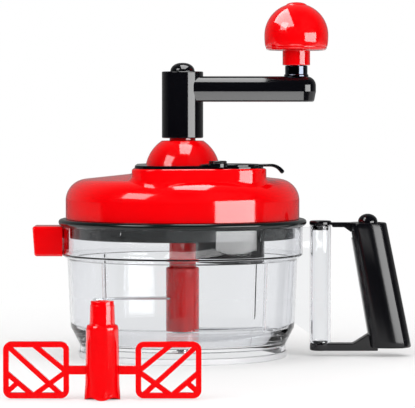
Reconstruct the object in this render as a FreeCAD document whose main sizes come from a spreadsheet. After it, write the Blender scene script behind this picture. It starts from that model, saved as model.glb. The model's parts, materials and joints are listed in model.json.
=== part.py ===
import FreeCAD, Part
import math
import os
import re

import Sketcher

# Crank food chopper. Millimetres, +Z up, origin on the bowl's axis in the plane it stands on.
# The carrying handle points along +X, the pouring spout along -X, the front is -Y.

SIZES = {
    # bowl
    "footStep": 6.1,
    "footRingLift": 1.2,
    "footRingSide": 0.8,
    "footRingHeight": 4.0,
    "floorUnder": 8.4,
    "floorThickness": 2.4,
    "cornerHeight": 20.0,
    "wallTaper": 1.9,
    "bandStep": 3.5,
    "stepHeight": 65.0,
    "stepRise": 2.6,
    "bandRadius": 80.0,
    "rimHeight": 87.0,
    "wallThickness": 2.2,
    "ribDepth": 1.5,
    "ribWidth": 1.8,
    "ribAngle": -43.0,
    "ribCount": 4,
    # bayonet between bowl and lid
    "lugReach": 4.7,
    "lugDrop": 3.4,
    "lugThickness": 2.2,
    "lugRise": 1.8,
    "lugLength": 27.0,
    "lugAngle": -40.0,
    "lugCount": 4,
    "lidPlay": 0.4,
    "lugPlay": 0.25,
    # steel pin in the bowl's floor
    "pinRadius": 3.0,
    "pinTop": 31.0,
    "pinEndGap": 1.0,
    "pinHeadRadius": 5.5,
    "pinHeadHeight": 1.5,
    "pinBossRadius": 7.0,
    "pinBossHeight": 1.8,
    # pouring spout and its cover
    "spoutLength": 16.5,
    "spoutWidth": 22.0,
    "spoutHeight": 16.6,
    "spoutDrop": 1.4,
    "spoutWall": 1.8,
    "coverPlay": 0.35,
    "coverWall": 1.9,
    "coverEnd": 2.8,
    "coverDraft": 1.4,
    "coverFoot": 2.0,
    "coverRise": 1.2,
    # clear post beside the bowl
    "postOffset": 11.8,
    "postRadius": 7.0,
    "postBore": 5.3,
    "postGap": 0.3,
    "webThickness": 2.4,
    "webSlope": 8.3,
    "webPostLift": 5.6,
    # carrying handle
    "gripRise": 2.0,
    "gripBottom": 5.8,
    "gripGap": 18.9,
    "gripTopWidth": 24.9,
    "gripLean": 14.3,
    "gripBottomWidth": 27.6,
    "gripTopDepth": 24.0,
    "gripBottomDepth": 27.0,
    "gripCorner": 8.0,
    "gripWall": 2.2,
    "bossRadius": 3.4,
    "screwHole": 1.3,
    "screwRadius": 1.25,
    "screwHead": 2.6,
    "screwHeadHeight": 1.5,
    "screwLength": 14.0,
    "screwTipCover": 1.0,
    "screwSlot": 0.8,
    "handleScrewDepth": 9.0,
    "upperBossInset": 12.8,
    "upperBossDrop": 23.0,
    "lowerBossInset": 10.5,
    "lowerBossRise": 20.2,
    "footStrapThickness": 4.9,
    "footStrapBottom": 3.6,
    "footStrapWidth": 11.0,
    "tongueLength": 5.0,
    "spigotRadius": 4.9,
    "spigotHeight": 8.5,
    "gussetReach": 11.5,
    "gussetRise": 6.5,
    # release lever on the handle
    "leverThickness": 3.1,
    "leverWidth": 9.0,
    "leverPadWidth": 13.2,
    "leverPadInset": 1.3,
    "strapClear": 0.6,
    "gussetReach": 4.6,
    "gussetDrop": 3.3,
    "eyeGap": 0.5,
    "leverEndInset": 5.2,
    "leverPinInset": 2.6,
    "leverPinDepth": 4.4,
    "leverPinRadius": 1.5,
    "leverEyeRadius": 3.4,
    "leverSlotWidth": 14.4,
    "leverSlotGap": 1.2,
    "leverSlotDepth": 10.5,
    "runningPlay": 0.05,
    "capRadius": 7.3,
    "capGap": 0.3,
    "capHeight": 2.9,
    "plugRadius": 4.6,
    "plugDepth": 3.4,
    "thumbInset": 7.1,
    "thumbRadius": 6.5,
    "thumbHeight": 5.8,
    "springThickness": 0.6,
    "springWidth": 6.0,
    # lid
    "lidStep": 2.3,
    "lidWall": 2.2,
    "lidRise": 25.1,
    "lidShoulderRound": 14.3,
    "crownRise": 5.7,
    "ringOverhang": 2.5,
    "seatGap": 0.1,
    "ringHeight": 4.4,
    "ringRound": 2.1,
    "skirtDepth": 8.0,
    "skirtWall": 2.0,
    "lidFloor": 2.2,
    "locatingRise": 3.5,
    "lidScrewInset": 11.7,
    "lidScrewAngle": -8.0,
    "lidScrewSpan": 210.0,
    "lidScrewCount": 4,
    "lidBossRadius": 3.3,
    "lidBossGap": 1.4,
    # raised platform on the lid: three rounded corners
    "platformRise": 3.6,
    "platformDepth": 19.9,
    "platformRadius": 32.3,
    "noseAcrossShare": -0.15,
    "noseForwardShare": -0.6375,
    "noseRadius": 20.3,
    "feedAcrossShare": 0.3875,
    "feedForwardShare": -0.46875,
    "platformFeedRadius": 23.9,
    "plateInset": 2.0,
    "plateThickness": 2.0,
    "plateRecess": 1.0,
    # feed chute and its swinging cover
    "chuteRadius": 22.3,
    "chuteBore": 20.1,
    "chuteFlange": 1.4,
    "chuteDepth": 13.4,
    "chuteRise": 18.0,
    "throatRadius": 18.4,
    "throatBore": 17.0,
    "portRadius": 16.8,
    "feedCoverRadius": 19.6,
    "feedCoverThickness": 1.7,
    "feedCoverGap": 0.1,
    "pivotAside": 7.8,
    "pivotAhead": 20.0,
    "pivotRadius": 2.0,
    "pivotBossRadius": 6.1,
    "pivotBossRise": 3.9,
    "pivotHeadRise": 1.3,
    "tabLength": 8.0,
    "tabReach": 27.5,
    "tabWidth": 11.0,
    "tabDrop": 4.8,
    # gear housing
    "domeRadius": 24.9,
    "domeDrop": 3.2,
    "domeFlatRadius": 13.8,
    "domeWall": 2.4,
    "domeSkirt": 14.7,
    "domeInside": 17.9,
    "neckRadius": 8.65,
    "neckRise": 15.4,
    "towerOffset": 26.6,
    "towerAngle": 9.6,
    "towerRadius": 3.6,
    "towerCount": 3,
    "earRadius": 3.0,
    "earRise": 5.5,
    "towerGap": 2.0,
    "centreBossRadius": 9.0,
    "centreBossGap": 12.6,
    # planetary gears
    "gearModule": 0.8,
    "toothReach": 0.64,
    "toothDepth": 0.88,
    "sunTeeth": 15,
    "planetTeeth": 15,
    "ringTeeth": 45,
    "planetCount": 3,
    "pressureAngle": 20.0,
    "toothPlay": 0.08,
    "gearLift": 2.6,
    "gearWidth": 10.8,
    "ringGearRadius": 22.3,
    "ringGearRise": 0.8,
    "ringFlangeBore": 19.3,
    "planetPinRadius": 2.0,
    "planetPinHead": 3.2,
    "rivetHeight": 1.2,
    "rivetGap": 0.2,
    # shafts and bushes
    "carrierRadius": 17.0,
    "carrierGap": 1.2,
    "carrierThickness": 3.6,
    "carrierHubRadius": 8.0,
    "inputRadius": 5.45,
    "squareLength": 11.3,
    "inputRise": 0.1,
    "inputSquare": 7.4,
    "bushOuter": 7.2,
    "bushFlangeRadius": 9.6,
    "bushFlangeHeight": 1.2,
    "outputRadius": 4.25,
    "outputBushOuter": 6.2,
    "hexCorner": 4.15,
    "hexDepth": 18.5,
    "hexEndGap": 1.0,
    "socketPlay": 0.15,
    # crank
    "tubeRadius": 13.75,
    "tubeGap": 4.5,
    "tubeRise": 3.2,
    "tubeRecessRadius": 10.2,
    "crankWeb": 2.7,
    "capBoreRadius": 7.2,
    "tubeSkirt": 24.1,
    "armThickness": 16.9,
    "armHalfWidth": 11.6,
    "armOverhang": 13.0,
    "armCorner": 9.6,
    "armTopRound": 6.2,
    "armLowRound": 1.0,
    "knobOffset": 75.6,
    "crankCapRadius": 8.5,
    "capPlugDepth": 6.0,
    "crankCapCurve": 8.7,
    "crankCapRise": 5.8,
    "crankScrewRadius": 2.0,
    "crankScrewHead": 5.0,
    # knob
    "stemRadius": 7.45,
    "stemFootRadius": 8.1,
    "stemFootHeight": 1.4,
    "stemRise": 7.1,
    "stemRootRadius": 5.0,
    "stemRootDepth": 13.1,
    "spindleRadius": 4.0,
    "knobScrewDepth": 12.0,
    "knobChamberDepth": 5.8,
    "collarRadius": 9.15,
    "collarGap": 0.2,
    "collarRise": 10.0,
    "knobFootRadius": 19.6,
    "knobRadius": 21.25,
    "knobBelly": 9.9,
    "knobCapRadius": 7.0,
    "knobRise": 22.0,
    "knobChamber": 6.4,
    "knobCapDepth": 3.9,
    # blades
    "hubGap": 2.5,
    "hubNarrowRadius": 8.9,
    "hubNarrowHeight": 17.0,
    "hubShoulder": 2.2,
    "hubBottom": 13.4,
    "bladeThickness": 1.3,
    "lowerBladeHeight": 17.0,
    "upperBladeHeight": 38.0,
    "bladeReach": 66.0,
    "bladeRoot": 5.6,
    "bladeWidth": 15.0,
    "tipShare": 0.9,
    "crownShare": 0.86,
    "tipLeadShare": 0.6,
    "crownLeadShare": 0.95,
    "edgeBowShare": 1.05,
    "spineBowShare": 1.3,
    "bevelWidth": 3.2,
    "bevelDepth": 0.8,
    # loose mixing paddle
    "paddleAcross": -42.9,
    "paddleForward": -256.0,
    "paddleHeight": 55.8,
    "paddleNarrowRadius": 7.0,
    "paddleDraft": 0.3,
    "paddleNarrowHeight": 14.0,
    "paddleHubRadius": 9.65,
    "paddleFlareWidth": 0.5,
    "paddleFlare": 19.5,
    "wingInner": 18.8,
    "wingWidth": 37.3,
    "wingBottom": 0.6,
    "wingHeight": 32.2,
    "wingBar": 3.2,
    "latticeBar": 2.9,
    "wingDepth": 3.2,
    "wingCorner": 4.7,
    "armLow": 14.2,
    "wingArmHeight": 4.9,
    "notchCount": 4,
    "notchDepth": 1.6,
    "notchWidth": 7.0,
}

# heights and reaches that follow from the sizes
PLACES = {
    "towerAcross": "towerOffset * cos(towerAngle)",
    "towerForward": "towerOffset * sin(towerAngle)",
    "noseAcross": "bandRadius * noseAcrossShare",
    "noseForward": "bandRadius * noseForwardShare",
    "feedAcross": "bandRadius * feedAcrossShare",
    "feedForward": "bandRadius * feedForwardShare",
    "pivotAcross": "feedAcross - pivotAside",
    "pivotForward": "feedForward - pivotAhead",
    "tipReach": "bladeReach * tipShare",
    "tipSweep": "bladeWidth * tipLeadShare",
    "crownReach": "bladeReach * crownShare",
    "crownSweep": "bladeWidth * crownLeadShare",
    "edgeBow": "bladeReach * edgeBowShare",
    "spineBow": "bladeReach * spineBowShare",
    "lugMiddle": "rimHeight - lugDrop",
    "skirtBottom": "rimHeight - skirtDepth",
    "ringBottom": "rimHeight + seatGap",
    "ringTop": "ringBottom + ringHeight",
    "locatingRim": "ringTop + locatingRise",
    "lidShoulder": "ringTop + lidRise",
    "lidCrown": "lidShoulder + crownRise",
    "lidBossTop": "lidShoulder - lidBossGap",
    "platformTop": "lidCrown + platformRise",
    "platformBase": "platformTop - platformDepth",
    "domeCentre": "platformTop - domeDrop",
    "domeCeiling": "domeCentre + domeInside",
    "neckTop": "domeCeiling + neckRise",
    "domeBottom": "domeCentre - domeSkirt",
    "earTop": "domeBottom + earRise",
    "towerTop": "domeBottom - towerGap",
    "gearBottom": "domeBottom + gearLift",
    "gearTop": "gearBottom + gearWidth",
    "ringGearTop": "gearTop + ringGearRise",
    "carrierBottom": "gearTop + carrierGap",
    "carrierTop": "carrierBottom + carrierThickness",
    "centreBossTop": "gearBottom - centreBossGap",
    "tubeBottom": "domeCeiling + tubeGap",
    "armBottom": "tubeBottom + tubeSkirt",
    "armTop": "armBottom + armThickness",
    "tubeTop": "armTop + tubeRise",
    "inputTop": "armBottom + inputRise",
    "inputShoulder": "inputTop - squareLength",
    "crankWebTop": "inputTop + crankWeb",
    "crankCapTop": "tubeTop + crankCapRise",
    "stemRootBottom": "armTop - stemRootDepth",
    "stemTop": "armTop + stemRise",
    "collarBottom": "stemTop + collarGap",
    "knobBottom": "collarBottom + collarRise",
    "knobCentre": "knobBottom + knobBelly",
    "knobTop": "knobCentre + knobRise",
    "knobChamberTop": "knobTop - knobCapDepth",
    "spindleTop": "knobChamberTop - knobChamberDepth",
    "pivotBossTop": "platformTop + pivotBossRise",
    "pivotHeadTop": "pivotBossTop + pivotHeadRise",
    "chuteShoulder": "skirtBottom + chuteRise",
    "chuteBottom": "skirtBottom - chuteDepth",
    "hubTop": "skirtBottom - hubGap",
    "hexBottom": "hubTop - hexDepth",
    "hubStep": "hubTop - hubNarrowHeight",
    "spoutTop": "rimHeight - spoutDrop",
    "spoutBottom": "spoutTop - spoutHeight",
    "coverTop": "spoutTop + coverRise",
    "coverBottom": "spoutBottom - coverFoot",
    "gripTop": "rimHeight + gripRise",
    "leverTop": "gripTop",
    "leverBottom": "leverTop - leverThickness",
    "leverPinHeight": "gripTop - leverPinDepth",
    "leverSlotFloor": "gripTop - leverSlotDepth",
    "capBottom": "rimHeight + capGap",
    "capTop": "capBottom + capHeight",
    "plugBottom": "capBottom - plugDepth",
    "upperBossHeight": "gripTop - upperBossDrop",
    "lowerBossHeight": "gripBottom + lowerBossRise",
    "footStrapTop": "footStrapBottom + footStrapThickness",
    "spigotTop": "footStrapTop + spigotHeight",
    "postBottom": "footStrapTop + postGap",
    "webPostLow": "postBottom + webPostLift",
    "webLow": "webPostLow + webSlope",
    "lugInner": "bandRadius - lugReach",
    "topWallRadius": "bandRadius - bandStep",
    "lowWallRadius": "topWallRadius - wallTaper",
    "footRadius": "lowWallRadius - footStep",
    "lidRadius": "bandRadius - lidStep",
    "ringRadius": "bandRadius + ringOverhang",
    "lidScrewRadius": "lidRadius - lidScrewInset",
    "spoutReach": "bandRadius + spoutLength",
    "coverReach": "spoutReach + coverEnd",
    "postCentre": "bandRadius + postOffset",
    "gripTopInner": "postCentre + gripGap",
    "gripTopOuter": "gripTopInner + gripTopWidth",
    "gripBottomInner": "gripTopInner + gripLean",
    "gripBottomOuter": "gripBottomInner + gripBottomWidth",
    "upperBossAcross": "gripTopInner + upperBossInset",
    "lowerBossAcross": "gripBottomInner + lowerBossInset",
    "leverPadStart": "gripTopInner + leverPadInset",
    "leverEnd": "gripTopOuter - leverEndInset",
    "leverPinAcross": "leverPadStart + leverPinInset",
    "leverSlotEnd": "leverEnd + leverSlotGap",
    "thumbAcross": "leverEnd - thumbInset",
    "footTongue": "gripBottomInner + tongueLength",
    "armEnd": "knobOffset + armOverhang",
    "tabBend": "feedAcross + tabReach",
    "tabEnd": "tabBend + tabLength",
    "wingOuter": "wingInner + wingWidth",
    "wingTop": "wingBottom + wingHeight",
    "armHigh": "armLow + wingArmHeight",
    "hubRadius": "hubNarrowRadius + hubShoulder",
    "paddleFootRadius": "paddleHubRadius + paddleFlareWidth",
}

os.makedirs("parts", exist_ok=True)
document = FreeCAD.newDocument("FoodChopper")
sheet = document.addObject("Spreadsheet::Sheet", "Sizes")
cells = {alias: str(size) for alias, size in SIZES.items()}
cells.update({alias: "=" + place for alias, place in PLACES.items()})
for row, (alias, content) in enumerate(cells.items(), start=1):
    sheet.set(f"A{row}", alias)
    sheet.set(f"B{row}", content)
    sheet.setAlias(f"B{row}", alias)
document.recompute()

# derived places, as expressions of the sizes above
floor_top = "(floorUnder + floorThickness)"
band_low = "(stepHeight + stepRise)"
band_inner = "(bandRadius - wallThickness)"
skirt_outer = "(lugInner - lidPlay)"
skirt_inner = "(lugInner - lidPlay - skirtWall)"
lid_floor_top = "(skirtBottom + lidFloor)"
plate_top = "(platformTop + plateThickness)"
shelf_top = "(platformTop + plateThickness - plateRecess)"
cover_low = "(platformTop + plateThickness - plateRecess + feedCoverGap)"
cover_high = "(platformTop + plateThickness - plateRecess + feedCoverGap + feedCoverThickness)"
planet_offset = "(gearModule * (sunTeeth + planetTeeth) / 2)"

parts = {}


def bound(expression):
    """The expression with each size's name pointing at its cell."""
    return re.sub(
        r"[A-Za-z_]\w*",
        lambda word: "Sizes." + word.group(0) if word.group(0) in cells else word.group(0),
        str(expression),
    )


def value(expression):
    """The number that an expression of sizes gives now."""
    return float(sheet.evalExpression(str(expression)))


def point(across, up, out=0.0):
    return FreeCAD.Vector(value(across), value(up), value(out))


# ---- sketches ----


def new_body(label):
    body = document.addObject("PartDesign::Body", label)
    body.Label = label
    parts[label] = body
    return body


def origin_item(body, role):
    return next(item for item in body.Origin.OriginFeatures if item.Role == role)


def new_sketch(body, role, offset="0", turn="0"):
    """A sketch on one of the body's origin planes, moved along its normal and turned about Z."""
    sketch = body.newObject("Sketcher::SketchObject", body.Label + "_sketch")
    sketch.AttachmentSupport = [(origin_item(body, role), "")]
    sketch.MapMode = "FlatFace"
    upright = FreeCAD.Vector(0, 1, 0) if role == "XZ_Plane" else FreeCAD.Vector(0, 0, 1)
    turned = FreeCAD.Rotation(upright, value(turn))
    sketch.AttachmentOffset = FreeCAD.Placement(FreeCAD.Vector(0, 0, 0), turned)
    if role == "XZ_Plane":
        angle = math.radians(value(turn))
        sketch.AttachmentOffset = FreeCAD.Placement(
            FreeCAD.Vector(math.sin(angle) * value(offset), 0, math.cos(angle) * value(offset)), turned
        )
    else:
        sketch.setExpression("AttachmentOffset.Base.z", bound(offset))
    return sketch


def locate(sketch, geometry, vertex, across, up):
    """Bind one vertex of the sketch to its place."""
    for kind, place, axis in (("DistanceX", across, -2), ("DistanceY", up, -1)):
        if abs(value(place)) < 1e-9:
            sketch.addConstraint(Sketcher.Constraint("PointOnObject", geometry, vertex, axis))
        else:
            index = sketch.addConstraint(
                Sketcher.Constraint(kind, -1, 1, geometry, vertex, value(place))
            )
            sketch.setExpression(f"Constraints[{index}]", bound(place))


def bind_radius(sketch, geometry, radius):
    index = sketch.addConstraint(Sketcher.Constraint("Radius", geometry, value(radius)))
    sketch.setExpression(f"Constraints[{index}]", bound(radius))


def vertex_at(sketch, geometry, place):
    """Which end of a line or arc lies at the place."""
    first = (sketch.getPoint(geometry, 1) - place).Length
    second = (sketch.getPoint(geometry, 2) - place).Length
    return 1 if first < second else 2


def arc_middle(start, end, radius):
    """The middle of the arc from start to end that bulges to the right of the way there."""
    half = (end - start) * 0.5
    side = FreeCAD.Vector(half.y, -half.x, 0).normalize()
    rise = abs(radius) - math.sqrt(max(radius * radius - half.Length**2, 0.0))
    return start + half + side * (rise if radius > 0 else -rise)


def draw_outline(sketch, corners, arcs=None):
    """A closed chain of corners (across, up) or (across, up, rounding).

    arcs maps the number of a side to the radius of the arc it follows: a positive one bulges to
    the right of the way round, a negative one to the left.
    """
    arcs = arcs or {}
    count = len(corners)
    places = [point(corner[0], corner[1]) for corner in corners]
    starts, ends, rounds = list(places), list(places), {}
    for i, corner in enumerate(corners):
        rounding = value(corner[2]) if len(corner) > 2 else 0.0
        if rounding <= 0:
            continue
        before = (places[i - 1] - places[i]).normalize()
        after = (places[(i + 1) % count] - places[i]).normalize()
        half_angle = before.getAngle(after) / 2
        tangent = rounding / math.tan(half_angle)
        middle_way = (before + after).normalize()
        middle = places[i] + middle_way * (rounding / math.sin(half_angle) - rounding)
        ends[i] = places[i] + before * tangent
        starts[i] = places[i] + after * tangent
        rounds[i] = middle
    sides = []
    for i in range(count):
        start, end = starts[i], ends[(i + 1) % count]
        if i in arcs:
            middle = arc_middle(start, end, value(arcs[i]))
            sides.append(sketch.addGeometry(Part.Arc(start, middle, end)))
            bind_radius(sketch, sides[-1], arcs[i] if value(arcs[i]) > 0 else f"-({arcs[i]})")
        else:
            sides.append(sketch.addGeometry(Part.LineSegment(start, end)))
    for i, corner in enumerate(corners):
        before, after = sides[i - 1], sides[i]
        before_end = vertex_at(sketch, before, ends[i])
        after_start = vertex_at(sketch, after, starts[i])
        if i not in rounds:
            joint = Sketcher.Constraint("Coincident", before, before_end, after, after_start)
            sketch.addConstraint(joint)
            locate(sketch, after, after_start, corner[0], corner[1])
            continue
        tip = sketch.addGeometry(Part.Point(places[i]), True)
        locate(sketch, tip, 1, corner[0], corner[1])
        arc = sketch.addGeometry(Part.Arc(ends[i], rounds[i], starts[i]))
        first, last = vertex_at(sketch, arc, ends[i]), vertex_at(sketch, arc, starts[i])
        sketch.addConstraint(Sketcher.Constraint("PointOnObject", tip, 1, before))
        sketch.addConstraint(Sketcher.Constraint("PointOnObject", tip, 1, after))
        sketch.addConstraint(Sketcher.Constraint("Tangent", before, before_end, arc, first))
        sketch.addConstraint(Sketcher.Constraint("Tangent", after, after_start, arc, last))
        bind_radius(sketch, arc, corner[2])
    return sketch


def draw_circle(sketch, across, up, radius):
    circle = Part.Circle(point(across, up), FreeCAD.Vector(0, 0, 1), value(radius))
    geometry = sketch.addGeometry(circle)
    locate(sketch, geometry, 3, across, up)
    bind_radius(sketch, geometry, radius)
    return sketch


def draw_belt(sketch, circles):
    """A closed belt round circles (across, up, radius), given counterclockwise."""
    count = len(circles)
    lines, centres = [], [point(circle[0], circle[1]) for circle in circles]
    radii = [value(circle[2]) for circle in circles]
    leaves, meets = [None] * count, [None] * count
    for i in range(count):
        after = (i + 1) % count
        way = centres[after] - centres[i]
        lean = math.asin((radii[i] - radii[after]) / way.Length)
        heading = math.atan2(way.y, way.x) - math.pi / 2 + lean
        outward = FreeCAD.Vector(math.cos(heading), math.sin(heading), 0)
        leaves[i] = centres[i] + outward * radii[i]
        meets[after] = centres[after] + outward * radii[after]
        lines.append(sketch.addGeometry(Part.LineSegment(leaves[i], meets[after])))
    for i, circle in enumerate(circles):
        first = math.atan2(meets[i].y - centres[i].y, meets[i].x - centres[i].x)
        last = math.atan2(leaves[i].y - centres[i].y, leaves[i].x - centres[i].x)
        last += 2 * math.pi if last < first else 0.0
        whole = Part.Circle(centres[i], FreeCAD.Vector(0, 0, 1), radii[i])
        arc = sketch.addGeometry(Part.ArcOfCircle(whole, first, last))
        locate(sketch, arc, 3, circle[0], circle[1])
        bind_radius(sketch, arc, circle[2])
        sketch.addConstraint(Sketcher.Constraint("Tangent", lines[i - 1], 2, arc, 1))
        sketch.addConstraint(Sketcher.Constraint("Tangent", lines[i], 1, arc, 2))
    return sketch


def box_corners(left, right, low, high, rounding=None):
    """The corners of an upright rectangle, rounded if a rounding is given."""
    corners = [(left, low), (right, low), (right, high), (left, high)]
    return [corner + (rounding,) for corner in corners] if rounding else corners


def draw_polygon(sketch, sides, corner_radius):
    """A regular polygon about the sketch's origin."""
    corners = []
    for i in range(sides):
        turn = 360.0 * i / sides
        corners.append((f"({corner_radius}) * cos({turn})", f"({corner_radius}) * sin({turn})"))
    return draw_outline(sketch, corners)


# ---- features ----


def add_feature(body, kind, sketch):
    feature = body.newObject("PartDesign::" + kind, sketch.Name + "_" + kind.lower())
    feature.Profile = sketch
    return feature


def pad(body, sketch, length, both=False, backward=False):
    feature = add_feature(body, "Pad", sketch)
    feature.setExpression("Length", bound(length))
    feature.SideType = "Symmetric" if both else "One side"
    feature.Reversed = backward
    return feature


def pocket(body, sketch, length, both=False, forward=False):
    """A cut from the sketch against its normal, or along it where forward is set."""
    feature = add_feature(body, "Pocket", sketch)
    feature.setExpression("Length", bound(length))
    feature.SideType = "Symmetric" if both else "One side"
    feature.Reversed = forward
    return feature


def revolve(body, sketch, cut=False, axis="V_Axis"):
    feature = add_feature(body, "Groove" if cut else "Revolution", sketch)
    feature.ReferenceAxis = (sketch, [axis])
    feature.Angle = 360
    return feature


def loft(body, sections, cut=False):
    feature = add_feature(body, "SubtractiveLoft" if cut else "AdditiveLoft", sections[0])
    feature.Sections = sections[1:]
    return feature


def repeat(body, features, count, span="360"):
    """The features repeated about the body's Z axis."""
    pattern = body.newObject("PartDesign::PolarPattern", body.Label + "_pattern")
    pattern.Originals = features
    pattern.Axis = (origin_item(body, "Z_Axis"), [""])
    pattern.setExpression("Angle", bound(span))
    pattern.setExpression("Occurrences", bound(count))
    body.Tip = pattern
    return pattern


def mirror(body, features):
    """The features mirrored in the body's YZ plane."""
    mirrored = body.newObject("PartDesign::Mirrored", body.Label + "_mirrored")
    mirrored.Originals = features
    mirrored.MirrorPlane = (origin_item(body, "YZ_Plane"), [""])
    body.Tip = mirrored
    return mirrored


def round_edges(body, radius, chosen):
    """Round the edges of the body's present shape for which chosen says yes."""
    document.recompute()
    base = body.Tip
    names = [f"Edge{i}" for i, edge in enumerate(base.Shape.Edges, start=1) if chosen(edge)]
    fillet = body.newObject("PartDesign::Fillet", body.Label + "_fillet")
    fillet.Base = (base, names)
    fillet.setExpression("Radius", bound(radius))
    return fillet


def level_edge(edge, height):
    """Is the whole edge at this height?"""
    box = edge.BoundBox
    return abs(box.ZMin - height) < 1e-4 and abs(box.ZMax - height) < 1e-4


def turned_body(label, corners, arcs=None):
    """A body turned about Z from an outline of (radius, height) corners."""
    body = new_body(label)
    revolve(body, draw_outline(new_sketch(body, "XZ_Plane"), corners, arcs))
    return body


def pad_circle(body, across, forward, radius, low, high):
    sketch = draw_circle(new_sketch(body, "XY_Plane", low), across, forward, radius)
    return pad(body, sketch, f"({high}) - ({low})")


def bore_circle(body, across, forward, radius, low, high):
    sketch = draw_circle(new_sketch(body, "XY_Plane", high), across, forward, radius)
    return pocket(body, sketch, f"({high}) - ({low})")


def group(label, shapes):
    """Separate solids that share one node."""
    item = document.addObject("Part::Feature", label)
    item.Label = label
    item.Shape = Part.makeCompound(shapes)
    parts[label] = item
    return item


# ---- bowl ----


def add_lugs(body, inner, outer, low):
    """Ramped bayonet lugs: blocks that rise round the axis, four to a turn."""
    turn = "lugAngle + 90"
    half, ramp = "lugLength / 2", "lugRise / 2"
    start = f"({inner})"
    sketch = new_sketch(body, "XZ_Plane", start, turn)
    draw_outline(
        sketch,
        [
            (f"-{half}", f"{low} - {ramp}"),
            (half, f"{low} + {ramp}"),
            (half, f"{low} + {ramp} + lugThickness"),
            (f"-{half}", f"{low} - {ramp} + lugThickness"),
        ],
    )
    lug = pad(body, sketch, f"({outer}) - {start}")
    repeat(body, [lug], "lugCount")


def trim_ring(body, inner, outer, low, high):
    """Turn away everything in a ring round the axis."""
    sketch = new_sketch(body, "XZ_Plane")
    draw_outline(sketch, box_corners(inner, outer, low, high))
    revolve(body, sketch, cut=True)


def make_bowl():
    skirt_inner_radius = "(footRadius - wallThickness)"
    low_inner = "(lowWallRadius - wallThickness)"
    top_inner = "(topWallRadius - wallThickness)"
    body = turned_body(
        "bowl",
        [
            ("pinRadius", "floorUnder"),
            (skirt_inner_radius, "floorUnder"),
            (skirt_inner_radius, "footRingLift"),
            ("footRadius", "footRingLift"),
            ("footRadius", "floorUnder", "wallThickness"),
            ("lowWallRadius", "cornerHeight", "3 * wallThickness"),
            ("topWallRadius", "stepHeight"),
            ("bandRadius", band_low, "wallThickness / 2"),
            ("bandRadius", "rimHeight", "wallThickness / 4"),
            (band_inner, "rimHeight", "wallThickness / 4"),
            (band_inner, f"{band_low} + wallThickness / 2"),
            (top_inner, "stepHeight + wallThickness / 2"),
            (low_inner, "cornerHeight + wallThickness / 2", "3 * wallThickness"),
            (f"{skirt_inner_radius} - wallThickness", floor_top, "2 * wallThickness"),
            ("pinBossRadius", floor_top),
            ("pinBossRadius", f"{floor_top} + pinBossHeight"),
            ("pinRadius", f"{floor_top} + pinBossHeight"),
        ],
    )
    # upright ribs inside the wall
    sketch = new_sketch(body, "XZ_Plane", "0", "ribAngle")
    draw_outline(
        sketch,
        [
            (f"{low_inner} - ribDepth", "cornerHeight"),
            (f"{low_inner} + wallThickness / 2", "cornerHeight"),
            (f"{top_inner} + wallThickness / 2", "stepHeight"),
            (f"{top_inner} - ribDepth", "stepHeight"),
        ],
    )
    repeat(body, [pad(body, sketch, "ribWidth", both=True)], "ribCount")
    # bayonet lugs inside the rim
    low = "(lugMiddle - lugThickness / 2)"
    add_lugs(body, "lugInner - 2 * wallThickness", f"{band_inner} + wallThickness / 5", low)
    clear = "(lugRise + 2 * lugThickness)"
    trim_ring(
        body, "lugInner - 5 * wallThickness", "lugInner", f"lugMiddle - {clear}", f"lugMiddle + {clear}"
    )
    # pouring spout
    half = "(spoutWidth / 2)"
    sketch = new_sketch(body, "YZ_Plane", "-spoutReach")
    draw_outline(sketch, box_corners(f"-{half}", half, "spoutBottom", "spoutTop", "spoutWall"))
    pad(body, sketch, f"spoutReach - {band_inner} - wallThickness / 4")
    sketch = new_sketch(body, "YZ_Plane", "-spoutReach - spoutWall")
    low, high = "spoutBottom + spoutWall", "spoutTop - spoutWall"
    draw_outline(sketch, box_corners(f"spoutWall - {half}", f"{half} - spoutWall", low, high))
    pocket(body, sketch, "spoutReach + spoutWall - lugInner", forward=True)
    # post and web that carry the handle
    pad_circle(body, "postCentre", "0", "postRadius", "postBottom", "rimHeight")
    sketch = new_sketch(body, "XZ_Plane")
    inside = "wallThickness / 2"
    post_side = "(postCentre - (postRadius + postBore) / 2)"
    draw_outline(
        sketch,
        [
            (f"lowWallRadius - {inside}", "webLow"),
            (post_side, "webPostLow"),
            (post_side, f"rimHeight - {inside}"),
            (f"bandRadius - {inside}", f"rimHeight - {inside}"),
            (f"bandRadius - {inside}", f"{band_low} + {inside}"),
            (f"topWallRadius - {inside}", "stepHeight"),
        ],
    )
    pad(body, sketch, "webThickness", both=True)
    bore_circle(body, "postCentre", "0", "postBore", "postBottom - wallThickness", "rimHeight")


def make_foot_ring():
    outer = "(footRadius + footRingSide)"
    inner = "(footRadius - wallThickness - footRingSide)"
    turned_body(
        "foot_ring",
        [
            (inner, "0"),
            (outer, "0", "footRingSide / 2"),
            (outer, "footRingHeight"),
            ("footRadius", "footRingHeight"),
            ("footRadius", "footRingLift"),
            ("footRadius - wallThickness", "footRingLift"),
            ("footRadius - wallThickness", "footRingHeight"),
            (inner, "footRingHeight"),
        ],
    )


def make_blade_pin():
    turned_body(
        "blade_pin",
        [
            ("0", "floorUnder - pinHeadHeight"),
            ("pinHeadRadius", "floorUnder - pinHeadHeight"),
            ("pinHeadRadius", "floorUnder"),
            ("pinRadius", "floorUnder"),
            ("pinRadius", "pinTop", "pinRadius / 2"),
            ("0", "pinTop"),
        ],
    )


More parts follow.
